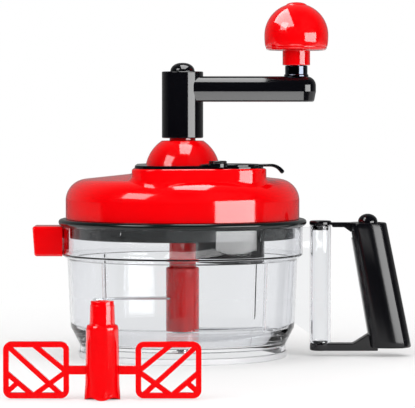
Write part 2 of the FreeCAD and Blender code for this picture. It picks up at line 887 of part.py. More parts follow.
def make_spout_cover():
    body = new_body("spout_cover")
    inner_half = "(spoutWidth / 2 + coverPlay)"
    outer_half = f"({inner_half} + coverWall)"
    # the outer end leans in towards its foot
    sketch = new_sketch(body, "XZ_Plane")
    draw_outline(
        sketch,
        [
            ("coverDraft - coverReach", "coverBottom"),
            (f"-{band_inner}", "coverBottom"),
            (f"-{band_inner}", "coverTop"),
            ("-coverReach", "coverTop"),
        ],
    )
    pad(body, sketch, f"2 * {outer_half}", both=True)
    reach = value("-coverReach")
    round_edges(body, "coverWall / 2", lambda edge: abs(edge.BoundBox.XMin - reach) < 2)
    sketch = new_sketch(body, "YZ_Plane", "-(spoutReach + 2 * coverPlay)")
    low, high = "spoutBottom - coverPlay", "spoutTop + coverPlay"
    draw_outline(sketch, box_corners(f"-{inner_half}", inner_half, low, high))
    pocket(body, sketch, "spoutReach", forward=True)
    # the inner end follows the bowl's band
    sketch = draw_circle(new_sketch(body, "XY_Plane", "coverTop"), "0", "0", "bandRadius + coverPlay")
    pocket(body, sketch, "coverTop - coverBottom")


# ---- carrying handle ----


def grip_section(body, height, inner, outer, depth, shrink):
    """One rounded cross-section of the grip, shrunk on all sides."""
    half = f"(({depth}) / 2 - {shrink})"
    sketch = new_sketch(body, "XY_Plane", height)
    corners = box_corners(
        f"{inner} + {shrink}", f"{outer} - {shrink}", f"-{half}", half, f"gripCorner - {shrink}"
    )
    return draw_outline(sketch, corners)


def cut_through(body, across, up, radius, start, length):
    """A round hole along Y, from a plane at the given distance to the front."""
    sketch = draw_circle(new_sketch(body, "XZ_Plane", start), across, up, radius)
    return pocket(body, sketch, length)


def make_handle_shell(label, front):
    body = new_body(label)
    loft(
        body,
        [
            grip_section(body, "gripBottom", "gripBottomInner", "gripBottomOuter", "gripBottomDepth", "0"),
            grip_section(body, "gripTop", "gripTopInner", "gripTopOuter", "gripTopDepth", "0"),
        ],
    )
    loft(
        body,
        [
            grip_section(
                body,
                "gripBottom + gripWall",
                "gripBottomInner",
                "gripBottomOuter",
                "gripBottomDepth",
                "gripWall",
            ),
            grip_section(
                body, "gripTop - gripWall", "gripTopInner", "gripTopOuter", "gripTopDepth", "gripWall"
            ),
        ],
        cut=True,
    )
    # screw bosses across the inside
    screws = [
        ("upperBossAcross", "upperBossHeight", "gripTopDepth - gripWall"),
        ("lowerBossAcross", "lowerBossHeight", "gripBottomDepth - gripWall"),
    ]
    for across, up, length in screws:
        sketch = draw_circle(new_sketch(body, "XZ_Plane"), across, up, "bossRadius")
        pad(body, sketch, length, both=True)
    # eyes that hold the lever's pin
    sketch = new_sketch(body, "XZ_Plane")
    draw_circle(sketch, "leverPinAcross", "leverPinHeight", "leverEyeRadius")
    pad(body, sketch, "gripTopDepth - gripWall", both=True)
    # slot for the lever, open at the top and towards the bowl
    sketch = new_sketch(body, "XZ_Plane")
    draw_outline(
        sketch,
        box_corners(
            "gripTopInner - gripWall", "leverSlotEnd", "leverSlotFloor", "gripTop + gripWall"
        ),
    )
    pocket(body, sketch, "leverSlotWidth", both=True)
    # hole for the pin, blind so that nothing shows outside
    sketch = new_sketch(body, "XZ_Plane")
    draw_circle(sketch, "leverPinAcross", "leverPinHeight", "leverPinRadius")
    pocket(body, sketch, "leverSlotWidth + gripWall", both=True)
    # opening for the tongue of the foot strap
    sketch = new_sketch(body, "XZ_Plane")
    draw_outline(
        sketch,
        box_corners(
            "gripBottomInner - 3 * gripWall",
            "footTongue + runningPlay",
            "footStrapBottom - gripWall",
            "footStrapTop + gussetRise + runningPlay",
        ),
    )
    pocket(body, sketch, "footStrapWidth + 2 * runningPlay", both=True)
    # keep one half
    half = new_sketch(body, "XZ_Plane")
    margin = "gripCorner"
    draw_outline(
        half,
        box_corners(
            f"gripTopInner - {margin}",
            f"gripBottomOuter + {margin}",
            f"gripBottom - {margin}",
            f"gripTop + {margin}",
        ),
    )
    pocket(body, half, "gripBottomDepth", forward=not front)
    # screw holes: blind in the front shell, countersunk from behind in the rear one
    for across, up, length in screws:
        if front:
            cut_through(body, across, up, "screwHole", "handleScrewDepth", "handleScrewDepth")
        else:
            cut_through(body, across, up, "screwHole + runningPlay", "0", "gripBottomDepth")
            sketch = draw_circle(
                new_sketch(body, "XZ_Plane", "handleScrewDepth - screwLength + screwHeadHeight"),
                across,
                up,
                "screwHead + runningPlay",
            )
            pocket(body, sketch, "gripBottomDepth")


def make_screw(origin, turn):
    """A countersunk screw, its head at the origin and its shank along the turned Z axis."""
    head_radius, shank_radius = value("screwHead"), value("screwRadius")
    head_height, length = value("screwHeadHeight"), value("screwLength")
    head = Part.makeCone(head_radius, shank_radius, head_height)
    shank = Part.makeCylinder(shank_radius, length)
    slot_width = value("screwSlot")
    slot = Part.makeBox(2 * head_radius, slot_width, head_height / 2)
    slot.translate(FreeCAD.Vector(-head_radius, -slot_width / 2, 0))
    screw = head.fuse(shank).cut(slot)
    screw.Placement = FreeCAD.Placement(origin, turn)
    return screw


def make_handle_screws():
    back = value("screwLength - handleScrewDepth")
    turn = FreeCAD.Rotation(FreeCAD.Vector(0, 0, 1), FreeCAD.Vector(0, -1, 0))
    shapes = []
    for across, up in (("upperBossAcross", "upperBossHeight"), ("lowerBossAcross", "lowerBossHeight")):
        origin = FreeCAD.Vector(value(across), back, value(up))
        shapes.append(make_screw(origin, turn))
    group("handle_screws", shapes)


def make_handle_foot():
    body = new_body("handle_foot")
    pad_circle(body, "postCentre", "0", "postRadius", "footStrapBottom", "footStrapTop")
    pad_circle(body, "postCentre", "0", "spigotRadius", "footStrapTop", "spigotTop")
    sketch = new_sketch(body, "XZ_Plane")
    draw_outline(
        sketch,
        [
            ("postCentre", "footStrapBottom"),
            ("footTongue", "footStrapBottom"),
            ("footTongue", "footStrapTop + gussetRise"),
            ("gripBottomInner - gripWall / 2", "footStrapTop + gussetRise"),
            ("gripBottomInner - gussetReach", "footStrapTop"),
            ("postCentre", "footStrapTop"),
        ],
    )
    pad(body, sketch, "footStrapWidth", both=True)


def make_release_lever():
    body = new_body("release_lever")
    # cap and plug over the post
    pad_circle(body, "postCentre", "0", "capRadius", "capBottom", "capTop")
    round_edges(body, "(capTop - capBottom) / 3", lambda edge: level_edge(edge, value("capTop")))
    pad_circle(body, "postCentre", "0", "plugRadius", "plugBottom", "capBottom")
    # strap from the cap to the thumb pad
    sketch = new_sketch(body, "XZ_Plane")
    clear = "(postCentre + postRadius + strapClear)"
    draw_outline(
        sketch,
        [
            (clear, "leverBottom"),
            ("leverPadStart - gussetReach", "leverBottom"),
            ("leverPadStart", "leverBottom - gussetDrop"),
            ("leverPadStart", "leverTop"),
            ("postCentre", "leverTop"),
            ("postCentre", "capBottom + runningPlay"),
            (clear, "capBottom + runningPlay"),
        ],
    )
    pad(body, sketch, "leverWidth", both=True)
    sketch = new_sketch(body, "XY_Plane", "leverBottom")
    half = "(leverPadWidth / 2)"
    corners = box_corners("leverPadStart", "leverEnd", f"-{half}", half, "leverPadWidth / 5")
    draw_outline(sketch, corners)
    pad(body, sketch, "leverTop - leverBottom")
    # eye round the pin
    sketch = new_sketch(body, "XZ_Plane")
    draw_circle(sketch, "leverPinAcross", "leverPinHeight", "leverEyeRadius - eyeGap")
    pad(body, sketch, "leverPadWidth", both=True)
    sketch = new_sketch(body, "XZ_Plane")
    draw_circle(sketch, "leverPinAcross", "leverPinHeight", "leverPinRadius + runningPlay")
    pocket(body, sketch, "leverSlotWidth", both=True)
    # thumb dome
    dome = draw_circle(new_sketch(body, "XY_Plane", "leverTop"), "thumbAcross", "0", "thumbRadius")
    pad(body, dome, "thumbHeight")
    top = value("leverTop + thumbHeight")
    round_edges(body, "thumbHeight - 4 * runningPlay", lambda edge: level_edge(edge, top))


def make_lever_pin():
    pin = document.addObject("Part::Cylinder", "lever_pin")
    pin.Label = "lever_pin"
    pin.setExpression("Radius", bound("leverPinRadius"))
    pin.setExpression("Height", bound("leverSlotWidth + gripWall"))
    pin.Placement = FreeCAD.Placement(
        FreeCAD.Vector(
            value("leverPinAcross"), value("(leverSlotWidth + gripWall) / 2"), value("leverPinHeight")
        ),
        FreeCAD.Rotation(FreeCAD.Vector(1, 0, 0), 90),
    )
    parts["lever_pin"] = pin


def make_lever_spring():
    """A leaf bent to a V that pushes the thumb pad up."""
    body = new_body("lever_spring")
    start, end = "(leverPinAcross + leverEyeRadius)", "(leverSlotEnd - 2 * springThickness)"
    bottom, top = "(leverSlotFloor + springThickness)", "(leverBottom - runningPlay)"
    sketch = new_sketch(body, "XZ_Plane")
    draw_outline(
        sketch,
        [
            (f"{start} + springThickness", bottom),
            (end, bottom),
            (end, f"{bottom} + springThickness"),
            (f"{start} + 4 * springThickness", f"{bottom} + springThickness"),
            (end, f"{top} - springThickness"),
            (end, top),
            (f"{end} - springThickness", top),
            (start, f"{bottom} + springThickness"),
        ],
    )
    pad(body, sketch, "springWidth", both=True)


# ---- lid ----


def platform_circles(shrink):
    """The three circles that the platform's wall goes round, seen from above."""
    return [
        ("0", "0", f"platformRadius - ({shrink})"),
        ("noseAcross", "noseForward", f"noseRadius - ({shrink})"),
        ("feedAcross", "feedForward", f"platformFeedRadius - ({shrink})"),
    ]


def make_lid_cover():
    inner = "(lidRadius - lidWall)"
    body = turned_body(
        "lid_cover",
        [
            ("domeRadius + lidPlay", "lidCrown - lidWall"),
            (inner, "lidShoulder - lidWall", "lidShoulderRound - lidWall"),
            (inner, "ringTop + runningPlay"),
            ("lidRadius", "ringTop + runningPlay"),
            ("lidRadius", "lidShoulder", "lidShoulderRound"),
            ("domeRadius + lidPlay", "lidCrown"),
        ][::-1],
    )
    outer = draw_belt(new_sketch(body, "XY_Plane", "platformBase"), platform_circles("0"))
    pad(body, outer, "platformTop - platformBase")
    hollow = draw_belt(
        new_sketch(body, "XY_Plane", "platformTop - lidWall"), platform_circles("lidWall")
    )
    pocket(body, hollow, "platformTop")
    top = "platformTop"
    bore_circle(body, "0", "0", "domeRadius + lidPlay", "platformTop - 2 * lidWall", top)
    bore_circle(body, "feedAcross", "feedForward", "throatBore", "platformTop - 2 * lidWall", top)
    bore_circle(
        body, "pivotAcross", "pivotForward", "pivotRadius + runningPlay", "platformBase", top
    )
    # bosses for the screws that come up through the lid's floor
    across = "lidScrewRadius * cos(lidScrewAngle)"
    forward = "lidScrewRadius * sin(lidScrewAngle)"
    low = f"{lid_floor_top} + runningPlay"
    boss = pad_circle(body, across, forward, "lidBossRadius", low, "lidBossTop")
    hole = bore_circle(body, across, forward, "screwHole", low, "skirtBottom + screwLength + screwTipCover")
    repeat(body, [boss, hole], "lidScrewCount", "lidScrewSpan")


def make_lid_base():
    body = turned_body(
        "lid_base",
        [
            ("outputBushOuter", "skirtBottom"),
            (skirt_outer, "skirtBottom"),
            (skirt_outer, "ringBottom"),
            ("ringRadius", "ringBottom", "ringRound"),
            ("ringRadius", "ringTop", "ringRound"),
            ("lidRadius - lidWall - lidPlay", "ringTop"),
            ("lidRadius - lidWall - lidPlay", "locatingRim"),
            (skirt_inner, "locatingRim"),
            (skirt_inner, lid_floor_top),
            ("centreBossRadius", lid_floor_top),
            ("centreBossRadius", "centreBossTop"),
            ("outputBushOuter", "centreBossTop"),
        ],
    )
    # lugs that pass under the bowl's own
    low = "(lugMiddle - 3 * lugThickness / 2 - lugPlay)"
    add_lugs(body, f"{skirt_outer} - skirtWall", "bandRadius", low)
    reach = f"({band_inner} - lidPlay)"
    trim_ring(body, reach, "bandRadius + lugLength / 4", "skirtBottom - lidFloor", "ringBottom")
    # towers that carry the gear housing, bored from below for its screws
    head_seat = "(earTop - screwTipCover - screwLength)"
    place = ("towerAcross", "towerForward")
    tower = pad_circle(body, *place, "towerRadius", "skirtBottom", "towerTop")
    hole = bore_circle(body, *place, "screwHole + runningPlay", "skirtBottom", "towerTop")
    wide = "screwHead + 3 * runningPlay"
    seat = bore_circle(
        body, *place, wide, "skirtBottom - lidFloor", f"{head_seat} + screwHeadHeight"
    )
    repeat(body, [tower, hole, seat], "towerCount")
    # clearance for the screws into the cover
    across = "lidScrewRadius * cos(lidScrewAngle)"
    forward = "lidScrewRadius * sin(lidScrewAngle)"
    clear = "screwHole + runningPlay"
    hole = bore_circle(body, across, forward, clear, "skirtBottom - lidFloor", lid_floor_top)
    seat = bore_circle(
        body, across, forward, wide, "skirtBottom - lidFloor", "skirtBottom + screwHeadHeight"
    )
    repeat(body, [hole, seat], "lidScrewCount", "lidScrewSpan")
    # opening for the feed chute
    low = "skirtBottom - lidFloor"
    bore_circle(body, "feedAcross", "feedForward", "chuteRadius + runningPlay", low, lid_floor_top)


def make_feed_chute():
    """The chute's tube, held by its flange between the lid's floor and the platform."""
    body = new_body("feed_chute")
    place = ("feedAcross", "feedForward")
    seat = f"({lid_floor_top} + runningPlay)"
    pad_circle(body, *place, "chuteRadius", "chuteBottom", "chuteShoulder + lidWall")
    pad_circle(body, *place, "chuteRadius + chuteFlange", seat, f"{seat} + chuteFlange")
    pad_circle(body, *place, "throatRadius", "chuteShoulder", "platformTop - lidWall - runningPlay")
    bore_circle(body, *place, "chuteBore", "chuteBottom - lidWall", "chuteShoulder")
    bore_circle(body, *place, "throatBore", "chuteShoulder - lidWall", "platformTop")


def make_top_plate():
    body = new_body("top_plate")
    plan = draw_belt(new_sketch(body, "XY_Plane", "platformTop"), platform_circles("plateInset"))
    pad(body, plan, "plateThickness")
    top = value(plate_top)
    round_edges(body, "plateThickness / 4", lambda edge: level_edge(edge, top))
    # lower shelf on which the feed cover turns
    clear = "(feedCoverRadius + lidPlay)"
    bore_circle(body, "feedAcross", "feedForward", clear, shelf_top, plate_top)
    left = "(pivotAcross - 2 * pivotBossRadius)"
    sketch = new_sketch(body, "XY_Plane", plate_top)
    draw_outline(
        sketch,
        [
            (left, "pivotForward"),
            (left, "-lidRadius"),
            ("lidRadius", "-lidRadius"),
            ("lidRadius", f"feedForward + {clear}"),
            ("feedAcross", f"feedForward + {clear}"),
        ],
    )
    pocket(body, sketch, "plateRecess")
    bore_circle(body, "0", "0", "domeRadius + lidPlay", "platformTop", plate_top)
    bore_circle(body, "feedAcross", "feedForward", "portRadius", "platformTop", plate_top)
    bore_circle(
        body, "pivotAcross", "pivotForward", "pivotRadius + runningPlay", "platformTop", plate_top
    )


def make_feed_cover():
    body = new_body("feed_cover")
    pad_circle(body, "feedAcross", "feedForward", "feedCoverRadius", cover_low, cover_high)
    # thumb tab, level over the platform and curved down beyond it
    sketch = new_sketch(body, "XZ_Plane", "-feedForward")
    thickness = "feedCoverThickness"
    draw_outline(
        sketch,
        [
            ("feedAcross", cover_low),
            ("tabBend", cover_low, "tabDrop"),
            ("tabEnd - feedCoverThickness", f"{cover_low} - tabDrop", f"{thickness} / 4"),
            ("tabEnd", f"{cover_low} - tabDrop + {thickness}", f"{thickness} / 2"),
            ("tabBend + feedCoverThickness", cover_high, "tabDrop"),
            ("feedAcross", cover_high),
        ],
    )
    pad(body, sketch, "tabWidth", both=True)
    pad_circle(body, "pivotAcross", "pivotForward", "pivotBossRadius", cover_low, "pivotBossTop")
    top = value("pivotBossTop")
    round_edges(body, "(plateThickness - plateRecess) / 2", lambda edge: level_edge(edge, top))
    bore = "pivotRadius + runningPlay"
    bore_circle(body, "pivotAcross", "pivotForward", bore, cover_low, "pivotBossTop")


def make_cover_pivot():
    body = new_body("cover_pivot")
    bottom = "(platformTop - 3 * lidWall)"
    head = "(pivotBossTop + feedCoverGap)"
    place = ("pivotAcross", "pivotForward")
    pad_circle(body, *place, "pivotRadius", bottom, head)
    pad_circle(body, *place, "pivotBossRadius - 2 * feedCoverGap", head, "pivotHeadTop")
    top = value("pivotHeadTop")
    round_edges(body, "(pivotHeadTop - pivotBossTop) / 2", lambda edge: level_edge(edge, top))
    # the spread foot below the platform's top keeps it in
    low = "(platformTop - lidWall - runningPlay)"
    pad_circle(body, *place, "pivotRadius * 4 / 3", bottom, low)


def make_lid_screws():
    up = FreeCAD.Rotation()
    shapes = []
    step = value("lidScrewSpan") / (value("lidScrewCount") - 1)
    for i in range(int(value("lidScrewCount"))):
        angle = math.radians(value("lidScrewAngle") + step * i)
        radius = value("lidScrewRadius")
        place = (radius * math.cos(angle), radius * math.sin(angle), value("skirtBottom"))
        shapes.append(make_screw(FreeCAD.Vector(*place), up))
    for i in range(int(value("towerCount"))):
        angle = math.radians(value("towerAngle") + 360 * i / value("towerCount"))
        radius = value("towerOffset")
        height = value("earTop - screwTipCover - screwLength + runningPlay")
        place = (radius * math.cos(angle), radius * math.sin(angle), height)
        shapes.append(make_screw(FreeCAD.Vector(*place), up))
    group("lid_screws", shapes)


def make_gear_dome():
    inner = "(domeRadius - domeWall)"
    flat_height = "(domeCentre + sqrt(domeRadius^2 - domeFlatRadius^2))"
    ceiling_radius = f"sqrt({inner}^2 - (domeCeiling - domeCentre)^2)"
    body = turned_body(
        "gear_dome",
        [
            ("bushOuter", "neckTop"),
            ("bushOuter", "domeCeiling"),
            (ceiling_radius, "domeCeiling"),
            (inner, "domeCentre"),
            (inner, "domeBottom"),
            ("domeRadius", "domeBottom"),
            ("domeRadius", "domeCentre"),
            ("domeFlatRadius", flat_height),
            ("neckRadius", flat_height),
            ("neckRadius", "neckTop"),
        ],
        {2: f"-{inner}", 6: "domeRadius"},
    )
    ear = pad_circle(body, "towerAcross", "towerForward", "earRadius", "domeBottom", "earTop")
    hole = bore_circle(body, "towerAcross", "towerForward", "screwHole", "domeBottom", "earTop")
    repeat(body, [ear, hole], "towerCount")


def make_bushes():
    turned_body(
        "input_bush",
        [
            ("inputRadius + runningPlay", "domeCeiling - bushFlangeHeight"),
            ("bushFlangeRadius", "domeCeiling - bushFlangeHeight"),
            ("bushFlangeRadius", "domeCeiling"),
            ("bushOuter", "domeCeiling"),
            ("bushOuter", "neckTop"),
            ("inputRadius + runningPlay", "neckTop"),
        ],
    )
    turned_body(
        "output_bush",
        [
            ("outputRadius + runningPlay", "skirtBottom"),
            ("outputBushOuter", "skirtBottom"),
            ("outputBushOuter", "centreBossTop"),
            ("centreBossRadius", "centreBossTop"),
            ("centreBossRadius", "centreBossTop + bushFlangeHeight"),
            ("outputRadius + runningPlay", "centreBossTop + bushFlangeHeight"),
        ],
    )


# ---- gears ----


def tooth_flank(teeth, radius, side):
    """Half the angle of a tooth at a radius: it narrows outwards (side 1) or inwards (side -1)."""
    module, pressure = value("gearModule"), math.radians(value("pressureAngle"))
    pitch_radius = module * teeth / 2
    base_radius = pitch_radius * math.cos(pressure)
    turn = math.acos(min(base_radius / radius, 1.0))
    involute = math.tan(turn) - turn
    at_pitch = math.tan(pressure) - pressure
    half_thickness = (math.pi * module / 4 - value("toothPlay") / 2) / pitch_radius
    return half_thickness + side * (at_pitch - involute)


def gear_outline(teeth, internal=False):
    """The toothed outline as a face. A tooth lies on the X axis, or a space in an internal gear."""
    module = value("gearModule")
    pitch_radius = module * teeth / 2
    side = -1 if internal else 1
    root = pitch_radius - side * value("toothDepth")
    tip = pitch_radius + side * value("toothReach")
    base_radius = pitch_radius * math.cos(math.radians(value("pressureAngle")))
    low = max(root, base_radius) if not internal else root
    radii = [low + (tip - low) * step / 2 for step in range(3)]
    if low > root:
        radii.insert(0, root)
    pitch_angle = 2 * math.pi / teeth
    corners = []
    for i in range(teeth):
        centre = pitch_angle * (i + 0.5 if internal else i)
        for turn, order in ((-1, radii), (1, radii[::-1])):
            for radius in order:
                half = tooth_flank(teeth, max(radius, base_radius), side)
                angle = centre + turn * half
                corners.append(FreeCAD.Vector(radius * math.cos(angle), radius * math.sin(angle), 0))
    return Part.Face(Part.makePolygon(corners + corners[:1]))


def make_solid_part(label, shape, placement=None):
    item = document.addObject("Part::Feature", label)
    item.Label = label
    item.Shape = shape
    if placement:
        item.Placement = placement
    parts[label] = item


def ring_of(outer, inner, low, high):
    """A plain ring about Z."""
    ring = Part.makeCylinder(outer, high - low).cut(Part.makeCylinder(inner, high - low))
    ring.translate(FreeCAD.Vector(0, 0, low))
    return ring


def make_ring_gear():
    low, high = value("domeBottom"), value("ringGearTop")
    teeth = gear_outline(int(value("ringTeeth")), internal=True)
    teeth = teeth.extrude(FreeCAD.Vector(0, 0, high - low + 2))
    teeth.translate(FreeCAD.Vector(0, 0, low - 1))
    ring = Part.makeCylinder(value("ringGearRadius"), high - low, FreeCAD.Vector(0, 0, low))
    ring = ring.cut(teeth)
    base = value("towerTop")
    flange = ring_of(value("domeRadius"), value("ringFlangeBore"), base, low)
    count = int(value("towerCount"))
    for i in range(count):
        angle = math.radians(value("towerAngle") + 360 * i / count)
        offset = value("towerOffset")
        centre = FreeCAD.Vector(offset * math.cos(angle), offset * math.sin(angle), base)
        ear = Part.makeCylinder(value("earRadius"), low - base, centre)
        hole = Part.makeCylinder(value("screwHole + runningPlay"), low - base, centre)
        flange = flange.fuse(ear).cut(hole)
    make_solid_part("ring_gear", ring.fuse(flange).removeSplitter())


def make_planet_gears():
    count = int(value("planetCount"))
    low, high = value("gearBottom"), value("gearTop")
    for i in range(count):
        gear = gear_outline(int(value("planetTeeth"))).extrude(FreeCAD.Vector(0, 0, high - low))
        gear = gear.cut(Part.makeCylinder(value("planetPinRadius + runningPlay"), high - low))
        turn = FreeCAD.Rotation(FreeCAD.Vector(0, 0, 1), 360.0 * i / count)
        place = turn.multVec(FreeCAD.Vector(value(planet_offset), 0, 0)) + FreeCAD.Vector(0, 0, low)
        make_solid_part(f"planet_gear_{i + 1}", gear, FreeCAD.Placement(place, turn))


def make_sun_shaft():
    low, high = value("gearBottom"), value("gearTop")
    gear = gear_outline(int(value("sunTeeth"))).extrude(FreeCAD.Vector(0, 0, high - low))
    gear.translate(FreeCAD.Vector(0, 0, low))
    radius = value("outputRadius")
    hex_top = value("skirtBottom")
    shaft = Part.makeCylinder(radius, low - hex_top, FreeCAD.Vector(0, 0, hex_top))
    collar_low = value("centreBossTop + bushFlangeHeight + runningPlay")
    collar = Part.makeCylinder(radius + 1, low - collar_low, FreeCAD.Vector(0, 0, collar_low))
    bottom, corner = value("hexBottom"), value("hexCorner")
    corners = [
        FreeCAD.Vector(corner * math.cos(math.pi * i / 3), corner * math.sin(math.pi * i / 3), bottom)
        for i in range(7)
    ]
    hexagon = Part.Face(Part.makePolygon(corners)).extrude(FreeCAD.Vector(0, 0, hex_top - bottom))
    spigot = Part.makeCylinder(value("screwHead"), 2 * value("planetPinRadius"))
    spigot.translate(FreeCAD.Vector(0, 0, high))
    make_solid_part("sun_shaft", gear.fuse([shaft, collar, hexagon, spigot]).removeSplitter())


def make_drive_carrier():
    body = turned_body(
        "drive_carrier",
        [
            ("screwHead + runningPlay", "carrierBottom"),
            ("carrierRadius", "carrierBottom"),
            ("carrierRadius", "carrierTop"),
            ("carrierHubRadius", "carrierTop"),
            ("carrierHubRadius", "domeCeiling - bushFlangeHeight - 4 * runningPlay"),
            ("inputRadius", "domeCeiling - bushFlangeHeight - 4 * runningPlay"),
            ("inputRadius", "inputShoulder"),
            ("0", "inputShoulder"),
            ("0", "gearTop + 3 * planetPinRadius"),
            ("screwHead + runningPlay", "gearTop + 3 * planetPinRadius"),
        ],
    )
    # square end that turns the crank, tapped for its screw
    half = "(inputSquare / 2)"
    sketch = new_sketch(body, "XY_Plane", "inputShoulder")
    draw_outline(sketch, box_corners(f"-{half}", half, f"-{half}", half))
    pad(body, sketch, "inputTop - inputShoulder")
    bore_circle(body, "0", "0", "crankScrewRadius", "neckTop", "inputTop")
    hole = bore_circle(
        body, planet_offset, "0", "planetPinRadius", "carrierBottom", "carrierTop"
    )
    repeat(body, [hole], "planetCount")


def make_planet_pins():
    count = int(value("planetCount"))
    radius, head = value("planetPinRadius"), value("planetPinHead")
    rivet_height = value("rivetHeight")
    low, high = value("gearBottom - rivetGap"), value("carrierTop")
    shapes = []
    for i in range(count):
        angle = 2 * math.pi * i / count
        offset = value(planet_offset)
        centre = FreeCAD.Vector(offset * math.cos(angle), offset * math.sin(angle), low)
        rivet = Part.makeCylinder(head, rivet_height, centre - FreeCAD.Vector(0, 0, rivet_height))
        shapes.append(Part.makeCylinder(radius, high - low, centre).fuse(rivet))
    group("planet_pins", shapes)


# ---- crank and knob ----


def make_crank_arm():
    body = new_body("crank_arm")
    sketch = new_sketch(body, "XY_Plane", "armBottom")
    corners = [
        ("0", "-armHalfWidth"),
        ("armEnd", "-armHalfWidth", "armCorner"),
        ("armEnd", "armHalfWidth", "armCorner"),
        ("0", "armHalfWidth"),
    ]
    draw_outline(sketch, corners)
    pad(body, sketch, "armTop - armBottom")
    # the edges of the free end and of both sides, but not the one inside the tube
    for size, level in (("armTopRound", "armTop"), ("armLowRound", "armBottom")):
        height = value(level)
        round_edges(
            body, size, lambda edge: level_edge(edge, height) and edge.BoundBox.XMax > value("tubeRadius")
        )
    pad_circle(body, "0", "0", "tubeRadius", "tubeBottom", "tubeTop")
    round_edges(
        body,
        "armLowRound / 2",
        lambda edge: level_edge(edge, value("tubeTop")) or level_edge(edge, value("tubeBottom")),
    )
    bore_circle(body, "0", "0", "tubeRecessRadius", "tubeBottom", "inputShoulder + 4 * runningPlay")
    half = "(inputSquare / 2 + runningPlay)"
    sketch = new_sketch(body, "XY_Plane", "inputTop + runningPlay")
    draw_outline(sketch, box_corners(f"-{half}", half, f"-{half}", half))
    pocket(body, sketch, "inputTop - inputShoulder")
    bore_circle(body, "0", "0", "crankScrewRadius + runningPlay", "inputTop", "crankWebTop")
    bore_circle(body, "0", "0", "capBoreRadius", "crankWebTop", "tubeTop")
    bore_circle(body, "knobOffset", "0", "stemRootRadius", "stemRootBottom", "armTop")


def make_crank_cap():
    turned_body(
        "crank_cap",
        [
            ("0", "tubeTop - capPlugDepth"),
            ("capBoreRadius", "tubeTop - capPlugDepth"),
            ("capBoreRadius", "tubeTop"),
            ("crankCapRadius", "tubeTop"),
            ("crankCapRadius / 4", "crankCapTop"),
            ("0", "crankCapTop"),
        ],
        {3: "crankCapCurve"},
    )


def make_crank_screw():
    turned_body(
        "crank_screw",
        [
            ("0", "neckTop"),
            ("crankScrewRadius", "neckTop"),
            ("crankScrewRadius", "crankWebTop"),
            ("crankScrewHead", "crankWebTop"),
            ("crankScrewHead", "crankWebTop + crankScrewHead * 0.7", "crankScrewHead / 4"),
            ("0", "crankWebTop + crankScrewHead * 0.7"),
        ],
    )


def shift_to_knob(body):
    body.Placement = FreeCAD.Placement(
        FreeCAD.Vector(value("knobOffset"), 0, 0), FreeCAD.Rotation()
    )


def make_knob_post():
    body = turned_body(
        "knob_post",
        [
            ("0", "stemRootBottom"),
            ("stemRootRadius", "stemRootBottom"),
            ("stemRootRadius", "armTop"),
            ("stemFootRadius", "armTop"),
            ("stemFootRadius", "armTop + stemFootHeight", "stemFootHeight / 2"),
            ("stemRadius", "armTop + stemFootHeight"),
            ("stemRadius", "stemTop"),
            ("spindleRadius", "stemTop"),
            ("spindleRadius", "spindleTop"),
            ("crankScrewRadius", "spindleTop"),
            ("crankScrewRadius", "spindleTop - knobScrewDepth"),
            ("0", "spindleTop - knobScrewDepth"),
        ],
    )
    shift_to_knob(body)


def make_knob_screw():
    seat = "(spindleTop + runningPlay)"
    body = turned_body(
        "knob_screw",
        [
            ("0", "spindleTop - 12 + runningPlay"),
            ("crankScrewRadius", "spindleTop - 12 + runningPlay"),
            ("crankScrewRadius", seat),
            ("knobChamber - 4 * runningPlay", seat),
            ("knobChamber - 4 * runningPlay", f"{seat} + 1.6"),
            ("crankScrewRadius * 2", f"{seat} + 2.8"),
            ("0", f"{seat} + 2.8"),
        ],
    )
    shift_to_knob(body)


def make_knob():
    cap_height = "(knobCentre + sqrt(knobRadius^2 - knobCapRadius^2))"
    seat = "(spindleTop - 2 * runningPlay)"
    body = turned_body(
        "knob",
        [
            ("spindleRadius + runningPlay", "collarBottom"),
            ("collarRadius", "collarBottom"),
            ("collarRadius", "knobBottom"),
            ("knobFootRadius", "knobBottom", "spindleRadius / 2"),
            ("knobRadius", "knobCentre"),
            ("knobCapRadius", cap_height),
            ("knobCapRadius", "knobChamberTop"),
            ("knobChamber", "knobChamberTop"),
            ("knobChamber", seat),
            ("spindleRadius + runningPlay", seat),
        ],
        {4: "knobRadius"},
    )
    shift_to_knob(body)


def make_knob_cap():
    body = turned_body(
        "knob_cap",
        [
            ("0", "knobChamberTop"),
            ("knobCapRadius", "knobChamberTop"),
            ("knobCapRadius", "knobCentre + sqrt(knobRadius^2 - knobCapRadius^2)"),
            ("knobCapRadius / 2", "knobTop"),
            ("0", "knobTop"),
        ],
        {2: "knobCapRadius * 2"},
    )
    shift_to_knob(body)


# ---- blades ----


def blade_outline(body, height, play):
    """A sickle seen from above: a bowed cutting edge and a hollow back, from the hub to the tip."""
    sketch = new_sketch(body, "XY_Plane", f"{height} - {play}")
    half = "(bladeWidth / 2)"
    corners = [
        ("bladeRoot", f"-{half}"),
        ("hubRadius + bladeRoot", f"-{half}"),
        ("tipReach", "tipSweep"),
        ("crownReach", "crownSweep"),
        ("hubRadius + bladeRoot", half),
        ("bladeRoot", half),
    ]
    arcs = {1: "edgeBow", 3: "-spineBow"}
    return draw_outline(sketch, corners, arcs)


